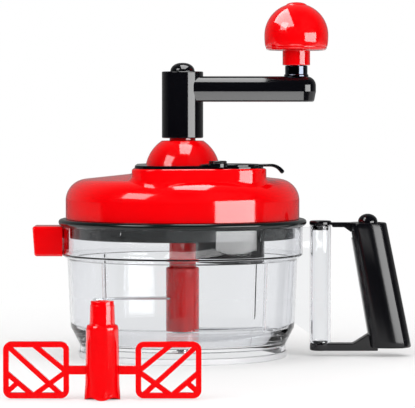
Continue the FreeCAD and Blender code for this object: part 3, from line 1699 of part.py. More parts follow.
def make_blade(label, height, turn):
    body = new_body(label)
    pad(body, blade_outline(body, height, "0"), "bladeThickness")
    document.recompute()
    top = value(f"{height} + bladeThickness")
    plain = body.Tip
    # the bowed edge is ground to a bevel
    names = [
        f"Edge{i}"
        for i, edge in enumerate(plain.Shape.Edges, start=1)
        if level_edge(edge, top) and edge.Curve.TypeId == "Part::GeomCircle" and edge.BoundBox.YMin < 0
    ]
    bevel = body.newObject("PartDesign::Chamfer", label + "_bevel")
    bevel.Base = (plain, names)
    bevel.ChamferType = "Two distances"
    bevel.setExpression("Size", bound("bevelDepth"))
    bevel.setExpression("Size2", bound("bevelWidth"))
    body.Placement = FreeCAD.Placement(
        FreeCAD.Vector(0, 0, 0), FreeCAD.Rotation(FreeCAD.Vector(0, 0, 1), turn)
    )


def make_blade_hub():
    body = turned_body(
        "blade_hub",
        [
            ("0", "pinTop + pinEndGap"),
            ("pinRadius + runningPlay", "pinTop + pinEndGap"),
            ("pinRadius + runningPlay", "hubBottom"),
            ("hubRadius", "hubBottom"),
            ("hubRadius", "hubStep", "bladeThickness"),
            ("hubNarrowRadius", "hubStep"),
            ("hubNarrowRadius", "hubTop"),
            ("0", "hubTop"),
        ],
    )
    hexagon = draw_polygon(new_sketch(body, "XY_Plane", "hubTop"), 6, "(hexCorner + socketPlay)")
    pocket(body, hexagon, "hexDepth + hexEndGap")
    # slots for the roots of the blades
    for height, side in (("lowerBladeHeight", ""), ("upperBladeHeight", "-")):
        half = "(bladeWidth / 2 + runningPlay)"
        sketch = new_sketch(body, "XY_Plane", f"{height} - runningPlay")
        near, far = f"{side}(bladeRoot - runningPlay)", f"{side}(2 * hubRadius)"
        left, right = (far, near) if side else (near, far)
        draw_outline(sketch, box_corners(left, right, f"-{half}", half))
        pocket(body, sketch, "bladeThickness + 2 * runningPlay", forward=True)


# ---- mixing paddle ----


def wing_bar(body, start, end):
    """A straight bar across the wing's frame, between two places given as shares of its sides."""
    ends = []
    for along, up in (start, end):
        across = f"(wingInner + wingBar / 2 + (wingOuter - wingInner - wingBar) * {along})"
        height = f"(wingBottom + wingBar / 2 + (wingTop - wingBottom - wingBar) * {up})"
        ends.append((across, height))
    (left, low), (right, high) = ends
    lean = math.atan2(value(high) - value(low), value(right) - value(left))
    half = "(latticeBar / 2)"
    side = (f"{half} * {math.sin(lean)}", f"{half} * {math.cos(lean)}")
    sketch = new_sketch(body, "XZ_Plane")
    draw_outline(
        sketch,
        [
            (f"{left} + {side[0]}", f"{low} - {side[1]}"),
            (f"{right} + {side[0]}", f"{high} - {side[1]}"),
            (f"{right} - {side[0]}", f"{high} + {side[1]}"),
            (f"{left} - {side[0]}", f"{low} + {side[1]}"),
        ],
    )
    return pad(body, sketch, "wingDepth", both=True)


def make_mixing_paddle():
    body = turned_body(
        "mixing_paddle",
        [
            ("0", "pinTop - hubBottom + pinEndGap"),
            ("pinRadius + runningPlay", "pinTop - hubBottom + pinEndGap"),
            ("pinRadius + runningPlay", "0"),
            ("paddleFootRadius", "0"),
            ("paddleHubRadius", "paddleFlare"),
            ("paddleHubRadius", "paddleHeight - paddleNarrowHeight", "wingBar / 4"),
            ("paddleNarrowRadius", "paddleHeight - paddleNarrowHeight"),
            ("paddleNarrowRadius - paddleDraft", "paddleHeight", "wingBar / 4"),
            ("0", "paddleHeight"),
        ],
    )
    corner = "(hexCorner + socketPlay)"
    hexagon = draw_polygon(new_sketch(body, "XY_Plane", "paddleHeight"), 6, corner)
    pocket(body, hexagon, "hexDepth + hexEndGap")
    # notches round the foot
    sketch = new_sketch(body, "XZ_Plane")
    half = "(notchWidth / 2)"
    draw_outline(sketch, [(f"-{half}", "0"), (half, "0"), ("0", "notchDepth")])
    notch = pocket(body, sketch, "2 * paddleFootRadius")
    repeat(body, [notch], "notchCount")
    # frame of the wing
    sketch = new_sketch(body, "XZ_Plane")
    draw_outline(
        sketch, box_corners("wingInner", "wingOuter", "wingBottom", "wingTop", "wingCorner")
    )
    draw_outline(
        sketch,
        box_corners(
            "wingInner + wingBar",
            "wingOuter - wingBar",
            "wingBottom + wingBar",
            "wingTop - wingBar",
            "wingCorner - wingBar",
        ),
    )
    pieces = [pad(body, sketch, "wingDepth", both=True)]
    # lattice: shares of the frame's width, from the hub outwards, and of its height
    lattice = [
        ((1.0, 1.0), (0.07, 0.0)),
        ((0.55, 1.0), (0.0, 0.47)),
        ((1.0, 0.45), (0.55, 0.0)),
        ((0.0, 0.47), (0.55, 0.0)),
        ((0.82, 0.24), (1.0, 0.05)),
    ]
    for start, end in lattice:
        near, far = sorted((start, end))
        pieces.append(wing_bar(body, near, far))
    # arm from the hub to the wing
    sketch = new_sketch(body, "XZ_Plane")
    near, far = "paddleHubRadius - wingBar / 2", "wingInner + wingBar / 2"
    draw_outline(sketch, box_corners(near, far, "armLow", "armHigh"))
    pieces.append(pad(body, sketch, "wingDepth", both=True))
    mirror(body, pieces)
    body.Placement = FreeCAD.Placement(
        FreeCAD.Vector(value("paddleAcross"), value("paddleForward"), 0), FreeCAD.Rotation()
    )


# ---- the whole chopper ----


def check_document():
    """Stop if an object failed, a cut took nothing away or a shape isn't sound."""
    document.recompute()
    for item in document.Objects:
        if "Invalid" in item.State or "Error" in item.State:
            raise RuntimeError(f"{item.Label} failed: {item.State}")
    for item in document.Objects:
        if item.TypeId in ("PartDesign::Pocket", "PartDesign::Groove", "PartDesign::SubtractiveLoft"):
            if item.Shape.Volume >= item.BaseFeature.Shape.Volume - 1e-3:
                raise RuntimeError(f"{item.Label} cuts nothing")
    for label, item in parts.items():
        if item.Shape.isNull() or not item.Shape.isValid():
            raise RuntimeError(f"{label} has no sound shape")


def main():
    make_bowl()
    make_foot_ring()
    make_blade_pin()
    make_spout_cover()
    make_handle_shell("handle_front_shell", front=True)
    make_handle_shell("handle_rear_shell", front=False)
    make_handle_screws()
    make_handle_foot()
    make_release_lever()
    make_lever_pin()
    make_lever_spring()
    make_lid_cover()
    make_lid_base()
    make_feed_chute()
    make_top_plate()
    make_feed_cover()
    make_cover_pivot()
    make_lid_screws()
    make_gear_dome()
    make_bushes()
    make_ring_gear()
    make_planet_gears()
    make_sun_shaft()
    make_drive_carrier()
    make_planet_pins()
    make_crank_arm()
    make_crank_cap()
    make_crank_screw()
    make_knob_post()
    make_knob_screw()
    make_knob()
    make_knob_cap()
    make_blade_hub()
    make_blade("lower_blade", "lowerBladeHeight", 0)
    make_blade("upper_blade", "upperBladeHeight", 180)
    make_mixing_paddle()
    check_document()
    for label, item in parts.items():
        item.Shape.exportStep(f"parts/{label}.step")
        print(label, len(item.Shape.Solids), round(item.Shape.Volume, 1))


main()
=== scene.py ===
import json
import math

import bmesh
import bpy
from mathutils import Matrix, Vector


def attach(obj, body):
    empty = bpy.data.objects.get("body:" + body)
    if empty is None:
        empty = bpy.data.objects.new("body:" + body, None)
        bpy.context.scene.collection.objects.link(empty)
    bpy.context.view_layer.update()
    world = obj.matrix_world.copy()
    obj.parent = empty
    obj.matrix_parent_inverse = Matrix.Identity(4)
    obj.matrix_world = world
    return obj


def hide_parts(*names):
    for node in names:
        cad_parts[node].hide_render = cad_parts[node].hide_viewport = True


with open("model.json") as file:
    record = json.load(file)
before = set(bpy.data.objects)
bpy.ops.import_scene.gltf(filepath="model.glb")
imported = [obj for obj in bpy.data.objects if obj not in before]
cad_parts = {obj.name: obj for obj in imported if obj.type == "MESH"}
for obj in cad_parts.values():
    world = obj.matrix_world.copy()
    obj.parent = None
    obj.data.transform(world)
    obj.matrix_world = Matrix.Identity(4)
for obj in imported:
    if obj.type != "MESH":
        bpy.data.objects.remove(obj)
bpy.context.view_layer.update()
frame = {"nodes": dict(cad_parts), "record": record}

# Hand cranked food chopper. Sizes in the dictionaries are millimetres, meshes are metres.
mm = 0.001
nodes = frame["nodes"]
scene = bpy.context.scene


def shade(mesh, angle):
    # smooth, with edges sharper than the angle kept
    mesh.polygons.foreach_set("use_smooth", [True] * len(mesh.polygons))
    mesh.set_sharp_from_angle(angle=math.radians(angle))


def pieceFrom(name, bm, smoothAngle=35):
    mesh = bpy.data.meshes.new(name)
    bm.to_mesh(mesh)
    bm.free()
    shade(mesh, smoothAngle)
    piece = bpy.data.objects.new(name, mesh)
    scene.collection.objects.link(piece)
    return piece


def linkMesh(name, bm, smoothAngle=35):
    bmesh.ops.recalc_face_normals(bm, faces=bm.faces)
    return pieceFrom(name, bm, smoothAngle)


def bridge(bm, loops, around=False):
    # faces between neighbouring loops; the ends are capped, or joined when the loops go all around
    for a, b in zip(loops, loops[1:] + loops[:1] if around else loops[1:]):
        for k in range(len(a)):
            n = (k + 1) % len(a)
            bm.faces.new((a[k], a[n], b[n], b[k]))
    if not around:
        bm.faces.new(loops[0])
        bm.faces.new(loops[-1])


def roundCorners(corners, steps=6):
    # corners are (x, y) or (x, y, radius); the radius becomes an arc of short steps
    points = []
    count = len(corners)
    for i, corner in enumerate(corners):
        here = Vector(corner[:2])
        if len(corner) < 3 or corner[2] <= 0:
            points.append((here.x, here.y))
            continue
        before = (Vector(corners[i - 1][:2]) - here).normalized()
        after = (Vector(corners[(i + 1) % count][:2]) - here).normalized()
        half = before.angle(after) / 2
        middle = here + (before + after).normalized() * (corner[2] / math.sin(half))
        start = here + before * (corner[2] / math.tan(half)) - middle
        end = here + after * (corner[2] / math.tan(half)) - middle
        first = math.atan2(start.y, start.x)
        sweep = math.atan2(end.y, end.x) - first
        sweep = (sweep + math.pi) % (2 * math.pi) - math.pi
        for k in range(steps + 1):
            angle = first + sweep * k / steps
            points.append((middle.x + corner[2] * math.cos(angle), middle.y + corner[2] * math.sin(angle)))
    return points


def arcPoints(centre, radius, first, last, steps=16):
    # points on an arc, angles in degrees
    angles = [math.radians(first + (last - first) * k / steps) for k in range(steps + 1)]
    return [(centre[0] + radius * math.cos(a), centre[1] + radius * math.sin(a)) for a in angles]


def quarter(steps, first, last):
    # angles that share a quarter turn into equal steps, from one of them up to before another
    return [math.pi / 2 * k / steps for k in range(first, last)]


def vert(bm, x, y, z):
    return bm.verts.new((x * mm, y * mm, z * mm))


def turned(name, corners, centre=(0, 0), segments=160, steps=6, closed=True, smoothAngle=35):
    # spins a profile of (radius, height) about an upright axis
    bm = bmesh.new()
    rings = []
    for radius, height in roundCorners(corners, steps):
        # on the axis the ring is a single point
        turns = [2 * math.pi * k / segments for k in range(segments if radius > 1e-6 else 1)]
        rings.append([vert(bm, centre[0] + radius * math.cos(a), centre[1] + radius * math.sin(a), height)
                      for a in turns])
    for low, high in zip(rings, rings[1:] + rings[:1] if closed else rings[1:]):
        if len(low) == 1 and len(high) == 1:
            continue
        for k in range(segments):
            n = (k + 1) % segments
            face = [low[k % len(low)], low[n % len(low)], high[n % len(high)], high[k % len(high)]]
            bm.faces.new(list(dict.fromkeys(face)))
    return linkMesh(name, bm, smoothAngle)


def prism(name, outline, low, high, upright="z", turn=0):
    # pushes a flat outline from low to high; upright "y" is the front view, "x" the side view
    bm = bmesh.new()
    c, s = math.cos(math.radians(turn)), math.sin(math.radians(turn))

    def place(a, b, h):
        x, y, z = (a, b, h) if upright == "z" else (a, h, b) if upright == "y" else (h, a, b)
        return vert(bm, x * c - y * s, x * s + y * c, z)

    outline = roundCorners(outline)
    bridge(bm, [[place(a, b, height) for a, b in outline] for height in (low, high)])
    return linkMesh(name, bm)


def slab(name, outline, half, turn=0):
    # an outline in the front view, as thick before the middle as behind it
    return prism(name, outline, -half, half, "y", turn)


def box(left, right, low, high, radius=0):
    return [(left, low, radius), (right, low, radius), (right, high, radius), (left, high, radius)]


def bake(piece, smoothAngle=35):
    # what the modifiers give becomes the mesh
    graph = bpy.context.evaluated_depsgraph_get()
    mesh = bpy.data.meshes.new_from_object(piece.evaluated_get(graph))
    mesh.name = piece.name
    piece.modifiers.clear()
    piece.data = mesh
    shade(mesh, smoothAngle)
    return piece


def softEdges(piece, width, segments=3, angle=35, smoothAngle=35):
    # rounds the edges that are sharper than the angle
    bevel = piece.modifiers.new("softEdges", "BEVEL")
    bevel.width = width * mm
    bevel.segments = segments
    bevel.limit_method = "ANGLE"
    bevel.angle_limit = math.radians(angle)
    return bake(piece, smoothAngle)


def combine(piece, others, operation):
    # boolean with each other shape, which is then thrown away
    for other in others:
        step = piece.modifiers.new(operation.lower(), "BOOLEAN")
        step.operation = operation
        step.solver = "EXACT"
        step.object = other
        bake(piece)
        bpy.data.objects.remove(other)
    return piece


def join(name, pieces):
    # several meshes become one piece
    bm = bmesh.new()
    for piece in pieces:
        bake(piece)
        bm.from_mesh(piece.data)
        bpy.data.objects.remove(piece)
    return pieceFrom(name, bm)


def fitPiece(piece, body, slot, node, material=None):
    # large faces keep their own direction beside small rounded edges
    piece.modifiers.new("evenShading", "WEIGHTED_NORMAL").keep_sharp = True
    piece.data.materials.clear()
    piece.data.materials.append(material or finishOfSlot[slot])
    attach(piece, body)
    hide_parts(node)


def belt(circles, steps=48):
    # outline of a tight belt round some circles (x, y, radius), seen from above
    points = []
    for x, y, r in circles:
        points += [(x + r * math.cos(a), y + r * math.sin(a)) for a in
                   (2 * math.pi * k / steps for k in range(steps))]
    points = sorted(set((round(x, 5), round(y, 5)) for x, y in points))

    def halfHull(cloud):
        hull = []
        for p in cloud:
            while len(hull) > 1 and (
                (hull[-1][0] - hull[-2][0]) * (p[1] - hull[-2][1])
                - (hull[-1][1] - hull[-2][1]) * (p[0] - hull[-2][0])
            ) <= 0:
                hull.pop()
            hull.append(p)
        return hull[:-1]

    return halfHull(points) + halfHull(points[::-1])


def circle(x, y, r, steps=96):
    return [(x + r * math.cos(2 * math.pi * k / steps), y + r * math.sin(2 * math.pi * k / steps))
            for k in range(steps)]


def feed(tree, socket, given):
    # another socket is linked, anything else is the socket's own value
    if isinstance(given, bpy.types.NodeSocket):
        tree.links.new(given, socket)
    else:
        socket.default_value = given


def addNode(tree, kind, inputs=None, **settings):
    node = tree.nodes.new("ShaderNode" + kind)
    for name, value in settings.items():
        setattr(node, name, value)
    for name, given in (inputs or {}).items():
        feed(tree, node.inputs[name], given)
    return node


def ramp(tree, value, low, high, span=(0, 1), kind="LINEAR"):
    # low at the start of the span, high at its end
    node = addNode(tree, "MapRange", {"Value": value, "From Min": span[0], "From Max": span[1],
                                      "To Min": low, "To Max": high}, interpolation_type=kind)
    return node.outputs["Result"]


def blend(tree, factor, first, second, kind="FLOAT"):
    node = addNode(tree, "Mix", {"Factor": factor, "A": first, "B": second}, data_type=kind)
    return node.outputs["Result"]


surface = {"driftScale": 28, "driftDetail": 3, "grainDetail": 2, "bumpDepth": 0.0002, "glossSpread": 0.25,
           "coatRoughness": 0.03, "subsurfaceScale": 0.004}


def finish(name, colour, roughness, **extra):
    # a moulded or ground surface: faint colour drift, uneven gloss and a fine bump
    material = bpy.data.materials.new(name)
    material.use_nodes = True
    tree = material.node_tree
    place = addNode(tree, "TexCoord").outputs["Object"]
    spread = addNode(tree, "Mapping", {"Vector": place, "Scale": extra.get("stretch", (1, 1, 1))}).outputs[0]
    drift = addNode(tree, "TexNoise", {"Vector": spread, "Scale": surface["driftScale"],
                                       "Detail": surface["driftDetail"]}).outputs["Fac"]
    second = extra.get("second", tuple(c * 0.88 for c in colour))
    shades = blend(tree, drift, (*colour, 1), (*second, 1), "RGBA")
    if "edgeShade" in extra:
        # clear walls look greyer where they are seen along their length
        facing = addNode(tree, "LayerWeight", {"Blend": extra["edgeBlend"]}).outputs["Facing"]
        shades = blend(tree, facing, shades, (*extra["edgeShade"], 1), "RGBA")
    uneven = surface["glossSpread"]
    grain = addNode(tree, "TexNoise", {"Vector": spread, "Scale": extra.get("grainScale", 120),
                                       "Detail": surface["grainDetail"]}).outputs["Fac"]
    bump = addNode(tree, "Bump", {"Strength": extra.get("bump", 0.05), "Distance": surface["bumpDepth"],
                                  "Height": grain})
    gloss = ramp(tree, drift, roughness * (1 - uneven), roughness * (1 + uneven))
    for socket, given in {
        "Base Color": shades, "Roughness": gloss, "Normal": bump.outputs["Normal"],
        "Metallic": extra.get("metallic", 0), "IOR": extra.get("ior", 1.5),
        "Transmission Weight": extra.get("transmission", 0), "Coat Weight": extra.get("coat", 0),
        "Coat Roughness": surface["coatRoughness"], "Specular IOR Level": extra.get("specular", 0.5),
        "Anisotropic": extra.get("brushed", 0), "Subsurface Weight": extra.get("subsurface", 0),
        "Subsurface Scale": surface["subsurfaceScale"],
    }.items():
        feed(tree, tree.nodes["Principled BSDF"].inputs[socket], given)
    return material


finishOfSlot = {
    "clear_plastic": finish(
        "clearPlastic", (0.905, 0.91, 0.92), 0.015, transmission=1, ior=1.33, second=(0.89, 0.9, 0.91),
        bump=0.015, edgeShade=(0.66, 0.67, 0.74), edgeBlend=0.13),
    "frosted_silicone": finish(
        "frostedSilicone", (0.95, 0.955, 0.97), 0.42, transmission=0.1, ior=1.41, second=(0.91, 0.92, 0.94),
        grainScale=900, bump=0.12),
    "red_plastic": finish(
        "redPlastic", (0.94, 0.0, 0.002), 0.09, coat=0.2, specular=0.54, second=(0.86, 0.0, 0.002),
        bump=0.03, grainScale=70),
    "black_plastic": finish(
        "blackPlastic", (0.0022, 0.0022, 0.0035), 0.09, coat=0.2, specular=0.45,
        second=(0.0035, 0.0035, 0.005), bump=0.04, grainScale=60),
    "charcoal_plastic": finish(
        "charcoalPlastic", (0.006, 0.011, 0.011), 0.16, second=(0.004, 0.007, 0.007), bump=0.04,
        grainScale=90),
    "dark_chrome": finish(
        "darkChrome", (0.1, 0.11, 0.14), 0.08, metallic=1, second=(0.07, 0.08, 0.1), bump=0.02),
    "blade_steel": finish(
        "bladeSteel", (0.66, 0.67, 0.69), 0.24, metallic=1, brushed=0.5, stretch=(1, 12, 1),
        grainScale=260, bump=0.12),
    "steel": finish("zincSteel", (0.6, 0.6, 0.62), 0.28, metallic=1, bump=0.05, grainScale=400),
    "white_nylon": finish("gearNylon", (0.84, 0.83, 0.79), 0.45, subsurface=0.2, bump=0.06, grainScale=300),
    "bronze": finish(
        "oiledBronze", (0.5, 0.33, 0.14), 0.4, metallic=1, second=(0.42, 0.27, 0.12), grainScale=1500,
        bump=0.25),
}
# two blacks that are duller than the rest
gripBlack = finish("gripBlack", (0.0018, 0.0018, 0.003), 0.17, specular=0.42, second=(0.0035, 0.0035, 0.005),
                   bump=0.04, grainScale=60)
chuteBlack = finish("chuteBlack", (0.003, 0.003, 0.004), 0.22, specular=0.26, second=(0.004, 0.004, 0.005),
                    bump=0.04, grainScale=60)
print("finishes ready:", len(finishOfSlot))

bowl = {
    "foot": 68.5, "footLift": 1.2, "floorUnder": 8.4, "floorTop": 10.8, "wall": 2.2,
    "cornerHeight": 20, "lowRadius": 74.6, "topRadius": 76.5, "step": 65, "bandLow": 67.6,
    "band": 80, "rim": 87, "pin": 3, "pinBoss": 7, "pinBossRise": 1.8,
    "ribDepth": 1.5, "ribWidth": 1.8, "ribAngles": (-43, 47, 137, 227),
    "lugAngles": (50, 140, 230, 320), "lugReach": (75.3, 78.4), "lugLength": 27, "lugRise": 1.8,
    "lugHeights": (82.5, 84.7),
    "spoutReach": 96.5, "spoutWidth": 22, "spoutLow": 69, "spoutHigh": 85.6, "spoutWall": 1.8,
    "spoutRound": 1.8, "spoutRoot": 78.4, "spoutMouth": 75.3,
    "webOutline": ((73.5, 22.7), (85.65, 14.4), (85.65, 85.9), (78.9, 85.9), (78.9, 68.7), (75.4, 65)),
    "post": 91.8, "postRadius": 7, "postBore": 5.3, "postLow": 8.8, "web": 2.4,
}


def curvedBlock(inner, outer, low, high, middle, length, rise, steps=18):
    # a block bent round the axis, its height climbing along its length
    bm = bmesh.new()
    half = math.degrees(length / 2 / outer)
    sections = []
    for k in range(steps + 1):
        share = k / steps - 0.5
        a = math.radians(middle + 2 * half * share)
        lift = rise * share
        corners = ((inner, low), (outer, low), (outer, high), (inner, high))
        sections.append([vert(bm, r * math.cos(a), r * math.sin(a), z + lift) for r, z in corners])
    bridge(bm, sections)
    return linkMesh("block", bm)


def makeBowl(b):
    inFoot = b["foot"] - b["wall"]
    body = turned("clearBowl", [
        (b["pin"], b["floorUnder"]), (inFoot, b["floorUnder"], 1), (inFoot, b["footLift"], 0.4),
        (b["foot"], b["footLift"], 0.6), (b["foot"], b["floorUnder"], 2),
        (b["lowRadius"], b["cornerHeight"], 6.6), (b["topRadius"], b["step"], 1.2),
        (b["band"], b["bandLow"], 1.1), (b["band"], b["rim"], 0.55),
        (b["band"] - b["wall"], b["rim"], 0.55), (b["band"] - b["wall"], b["bandLow"] + 1.1, 0.8),
        (b["topRadius"] - b["wall"], b["step"] + 1.1, 0.8),
        (b["lowRadius"] - b["wall"], b["cornerHeight"] + 1.1, 6.6),
        (inFoot - b["wall"], b["floorTop"], 4.4), (b["pinBoss"], b["floorTop"], 0.6),
        (b["pinBoss"], b["floorTop"] + b["pinBossRise"], 0.4),
        (b["pin"], b["floorTop"] + b["pinBossRise"]),
    ], segments=224)
    additions = []
    for angle in b["ribAngles"]:
        low, high = b["lowRadius"] - b["wall"], b["topRadius"] - b["wall"]
        outline = [(low - b["ribDepth"], b["cornerHeight"]), (low + 1.1, b["cornerHeight"]),
                   (high + 1.1, b["step"]), (high - b["ribDepth"], b["step"])]
        additions.append(softEdges(slab("rib", outline, b["ribWidth"] / 2, angle), 0.5, 2))
    for angle in b["lugAngles"]:
        lug = curvedBlock(*b["lugReach"], *b["lugHeights"], angle, b["lugLength"], b["lugRise"])
        additions.append(softEdges(lug, 0.3, 2))
    half = b["spoutWidth"] / 2
    wall, low, high = b["spoutWall"], b["spoutLow"], b["spoutHigh"]
    additions.append(prism("spout", box(-half, half, low, high, b["spoutRound"]),
                           -b["spoutReach"], -b["spoutRoot"], "x"))
    additions.append(turned("post", [(0, b["postLow"]), (b["postRadius"], b["postLow"], 0.8),
                                     (b["postRadius"], b["rim"], 0.6), (0, b["rim"])], (b["post"], 0), 64))
    additions.append(slab("web", b["webOutline"], b["web"] / 2))
    combine(body, additions, "UNION")
    inside = prism("inside", box(wall - half, half - wall, low + wall, high - wall, 0.8),
                   -b["spoutReach"] - 2, -b["spoutMouth"], "x")
    bore = turned("bore", [(0, b["postLow"] - 1), (b["postBore"], b["postLow"] - 1),
                           (b["postBore"], b["rim"] + 1), (0, b["rim"] + 1)], (b["post"], 0), 64)
    combine(body, [inside, bore], "DIFFERENCE")
    return body


fitPiece(makeBowl(bowl), "root", "clear_plastic", "bowl")
print("bowl made")

footRing = {"outer": 69.3, "inner": 65.4, "top": 4.0, "channel": (66.3, 68.55), "channelFloor": 1.3}


def makeFootRing(r):
    near, far = r["channel"]
    return turned("footRing", [
        (near, r["channelFloor"]), (near, r["top"], 0.3), (r["inner"], r["top"], 0.3), (r["inner"], 0, 0.5),
        (r["outer"], 0, 0.8), (r["outer"], r["top"], 0.7), (far, r["top"], 0.2), (far, r["channelFloor"]),
    ], segments=224)


fitPiece(makeFootRing(footRing), "root", "frosted_silicone", "foot_ring")

spoutCover = {"reach": 99.3, "lean": 1.4, "root": 77.8, "low": 67, "high": 86.8, "half": 13.25, "wall": 1.9,
              "inner": 80.35, "hollow": (68.65, 85.95), "hollowReach": 97.2}


def makeSpoutCover(c):
    side = [(c["lean"] - c["reach"], c["low"]), (-c["root"], c["low"]), (-c["root"], c["high"]),
            (-c["reach"], c["high"])]
    # rounded at the outer end, seen from the side and from above
    shell = softEdges(slab("spoutCoverRed", side, c["half"]), 1.6, 5)
    half = c["half"] - c["wall"]
    hollow = prism("hollow", box(-half, half, *c["hollow"], 0.8), -c["hollowReach"], -70, "x")
    low, high = c["low"] - 3, c["high"] + 3
    band = turned("band", [(0, low), (c["inner"], low), (c["inner"], high), (0, high)], segments=224)
    return softEdges(combine(shell, [hollow, band], "DIFFERENCE"), 0.35, 2)


fitPiece(makeSpoutCover(spoutCover), "spout_cover", "red_plastic", "spout_cover")
print("spout cover made")

lid = {
    "radius": 77.7, "wall": 2.2, "shoulder": 116.6, "round": 14.3, "crown": 122.3, "ringTop": 91.55,
    "dome": 24.9, "play": 0.4, "platformBase": 106, "platformTop": 125.9,
    "platform": ((0, 0, 32.3), (-12, -51, 20.3), (31, -37.5, 23.9)),
    "throat": (31, -37.5, 17), "edge": 1.3, "blend": 3.2, "sink": 1.2, "cut": (100, 130),
}


def shrunk(circles, by):
    return [(x, y, r - by) for x, y, r in circles]


def lidHeight(c, radius):
    # height of the dome's outside between the gear dome and the shoulder's round
    share = (radius - c["dome"]) / (c["radius"] - c["dome"])
    bend = c["radius"] - c["round"]
    fall = max(radius - bend, 0)
    drop = c["round"] - math.sqrt(max(c["round"] ** 2 - fall ** 2, 0))
    return c["crown"] + (c["shoulder"] - c["crown"]) * min(share, 1) - drop


def hollowRound(name, c, radius, steps=10):
    # strip that blends the platform's upright wall into the dome
    outline = belt(c["platform"], 96)
    count = len(outline)
    bm = bmesh.new()
    rings = []
    for step in range(steps + 2):
        ring = []
        t = math.pi / 2 * max(step - 1, 0) / steps
        reach = radius * (1 - math.cos(t)) if step else -1
        climb = radius * (1 - math.sin(t)) if step else radius
        for k in range(count):
            (x0, y0), (x1, y1), (x2, y2) = outline[k - 1], outline[k], outline[(k + 1) % count]
            out = Vector((y2 - y0, x0 - x2)).normalized()
            x, y = x1 + out.x * reach, y1 + out.y * reach
            z = lidHeight(c, math.hypot(x, y)) + climb
            ring.append(vert(bm, x, y, z))
        rings.append(ring)
    low = [bm.verts.new(v.co - Vector((0, 0, c["sink"] * mm))) for v in rings[-1]]
    under = [bm.verts.new(v.co - Vector((0, 0, (c["sink"] + radius) * mm))) for v in rings[0]]
    bridge(bm, rings + [low, under], around=True)
    return linkMesh(name, bm, 60)


def makeLidCover(c):
    inner = c["radius"] - c["wall"]
    shell = turned("lidShell", [
        (c["dome"] + c["play"], c["crown"] - c["wall"]),
        (inner, c["shoulder"] - c["wall"], c["round"] - c["wall"]), (inner, c["ringTop"]),
        (c["radius"], c["ringTop"], 0.3), (c["radius"], c["shoulder"], c["round"]),
        (c["dome"] + c["play"], c["crown"]),
    ], segments=256, steps=20)
    raised = prism("raised", belt(c["platform"], 96), c["platformBase"], c["platformTop"])
    raised = softEdges(raised, c["edge"], 5)
    hollow = prism("hollow", belt(shrunk(c["platform"], c["wall"]), 96), c["platformBase"] - 8,
                   c["platformTop"] - c["wall"])
    domeHole = prism("domeHole", circle(0, 0, c["dome"] + c["play"], 128), *c["cut"])
    throatHole = prism("throatHole", circle(*c["throat"]), *c["cut"])
    whole = combine(shell, [raised], "UNION")
    whole = combine(whole, [hollow, domeHole, throatHole], "DIFFERENCE")
    return join("lidShell", [whole, hollowRound("blend", c, c["blend"])])


fitPiece(makeLidCover(lid), "lid", "red_plastic", "lid_cover")
print("lid cover made")

lidRing = {
    "radius": 82.5, "low": 87.1, "high": 91.5, "round": 2.1, "skirt": 74.9, "skirtLow": 79, "skirtWall": 2,
    "floor": 81.2, "rim": 95, "bush": 6.2, "boss": 9, "bossTop": 98, "towerOffset": 26.6, "tower": 3.6,
    "towerTop": 106, "towerFoot": (84, 80), "towerAngle": 9.6, "screwBore": 1.35, "feed": (31, -37.5),
    "opening": 22.35, "cut": (60, 90), "lip": 75.1, "lugReach": (73.2, 77.4), "lugHeights": (80.05, 82.25),
}


def makeLidRing(c):
    body = turned("lidRingDark", [
        (c["bush"], c["skirtLow"]), (c["skirt"], c["skirtLow"], 0.5), (c["skirt"], c["low"]),
        (c["radius"], c["low"], c["round"]), (c["radius"], c["high"], c["round"]), (c["lip"], c["high"]),
        (c["lip"], c["rim"]), (c["skirt"] - c["skirtWall"], c["rim"]),
        (c["skirt"] - c["skirtWall"], c["floor"]), (c["boss"], c["floor"]), (c["boss"], c["bossTop"]),
        (c["bush"], c["bossTop"]),
    ], segments=256, steps=10)
    lugs = [curvedBlock(*c["lugReach"], *c["lugHeights"], angle, bowl["lugLength"], bowl["lugRise"])
            for angle in bowl["lugAngles"]]
    lugs = [softEdges(lug, 0.3, 2) for lug in lugs]
    opening = prism("opening", circle(*c["feed"], c["opening"], 128), *c["cut"])
    body = combine(body, [opening], "DIFFERENCE")
    towers = []
    near, out, (rise, foot) = c["screwBore"], c["tower"], c["towerFoot"]
    for k in range(3):
        a = math.radians(c["towerAngle"] + 120 * k)
        spot = (c["towerOffset"] * math.cos(a), c["towerOffset"] * math.sin(a))
        side = [(near, rise), (out, foot), (out, c["towerTop"]), (near, c["towerTop"])]
        towers.append(turned("tower", side, spot, 32))
    return join("lidRing", [body] + lugs + towers)


fitPiece(makeLidRing(lidRing), "lid", "charcoal_plastic", "lid_base")
print("lid ring made")

chute = {"at": (31, -37.5), "radius": 22.3, "bore": 20.1, "low": 65.6, "shoulder": 97, "throat": 18.4,
         "ledge": 2.2, "throatBore": 17, "top": 123.65, "flange": 23.7, "flangeLow": 81.25,
         "flangeTop": 82.65}


def makeFeedChute(c):
    bore, out, throat, ledge = c["bore"], c["radius"], c["throat"], c["shoulder"] + c["ledge"]
    return turned("feedChuteBlack", [
        (bore, c["low"], 0.5), (out, c["low"], 0.9), (out, c["flangeLow"]),
        (c["flange"], c["flangeLow"], 0.2), (c["flange"], c["flangeTop"], 0.4), (out, c["flangeTop"], 0.3),
        (out, ledge, 0.8),
        (throat, ledge, 0.4), (throat, c["top"], 0.3), (c["throatBore"], c["top"], 0.3),
        (c["throatBore"], c["shoulder"], 0.3), (bore, c["shoulder"], 0.8),
    ], c["at"], 160)


fitPiece(makeFeedChute(chute), "lid", "black_plastic", "feed_chute", chuteBlack)
print("feed chute made")

plate = {
    "low": 125.9, "high": 127.9, "inset": 2, "shelf": 1, "cover": (31, -37.5, 19.6), "play": 0.4,
    "port": 16.8, "shelfCorner": (11, -57.5), "shelfReach": 77.7, "dome": 25.3, "edge": 0.5,
}


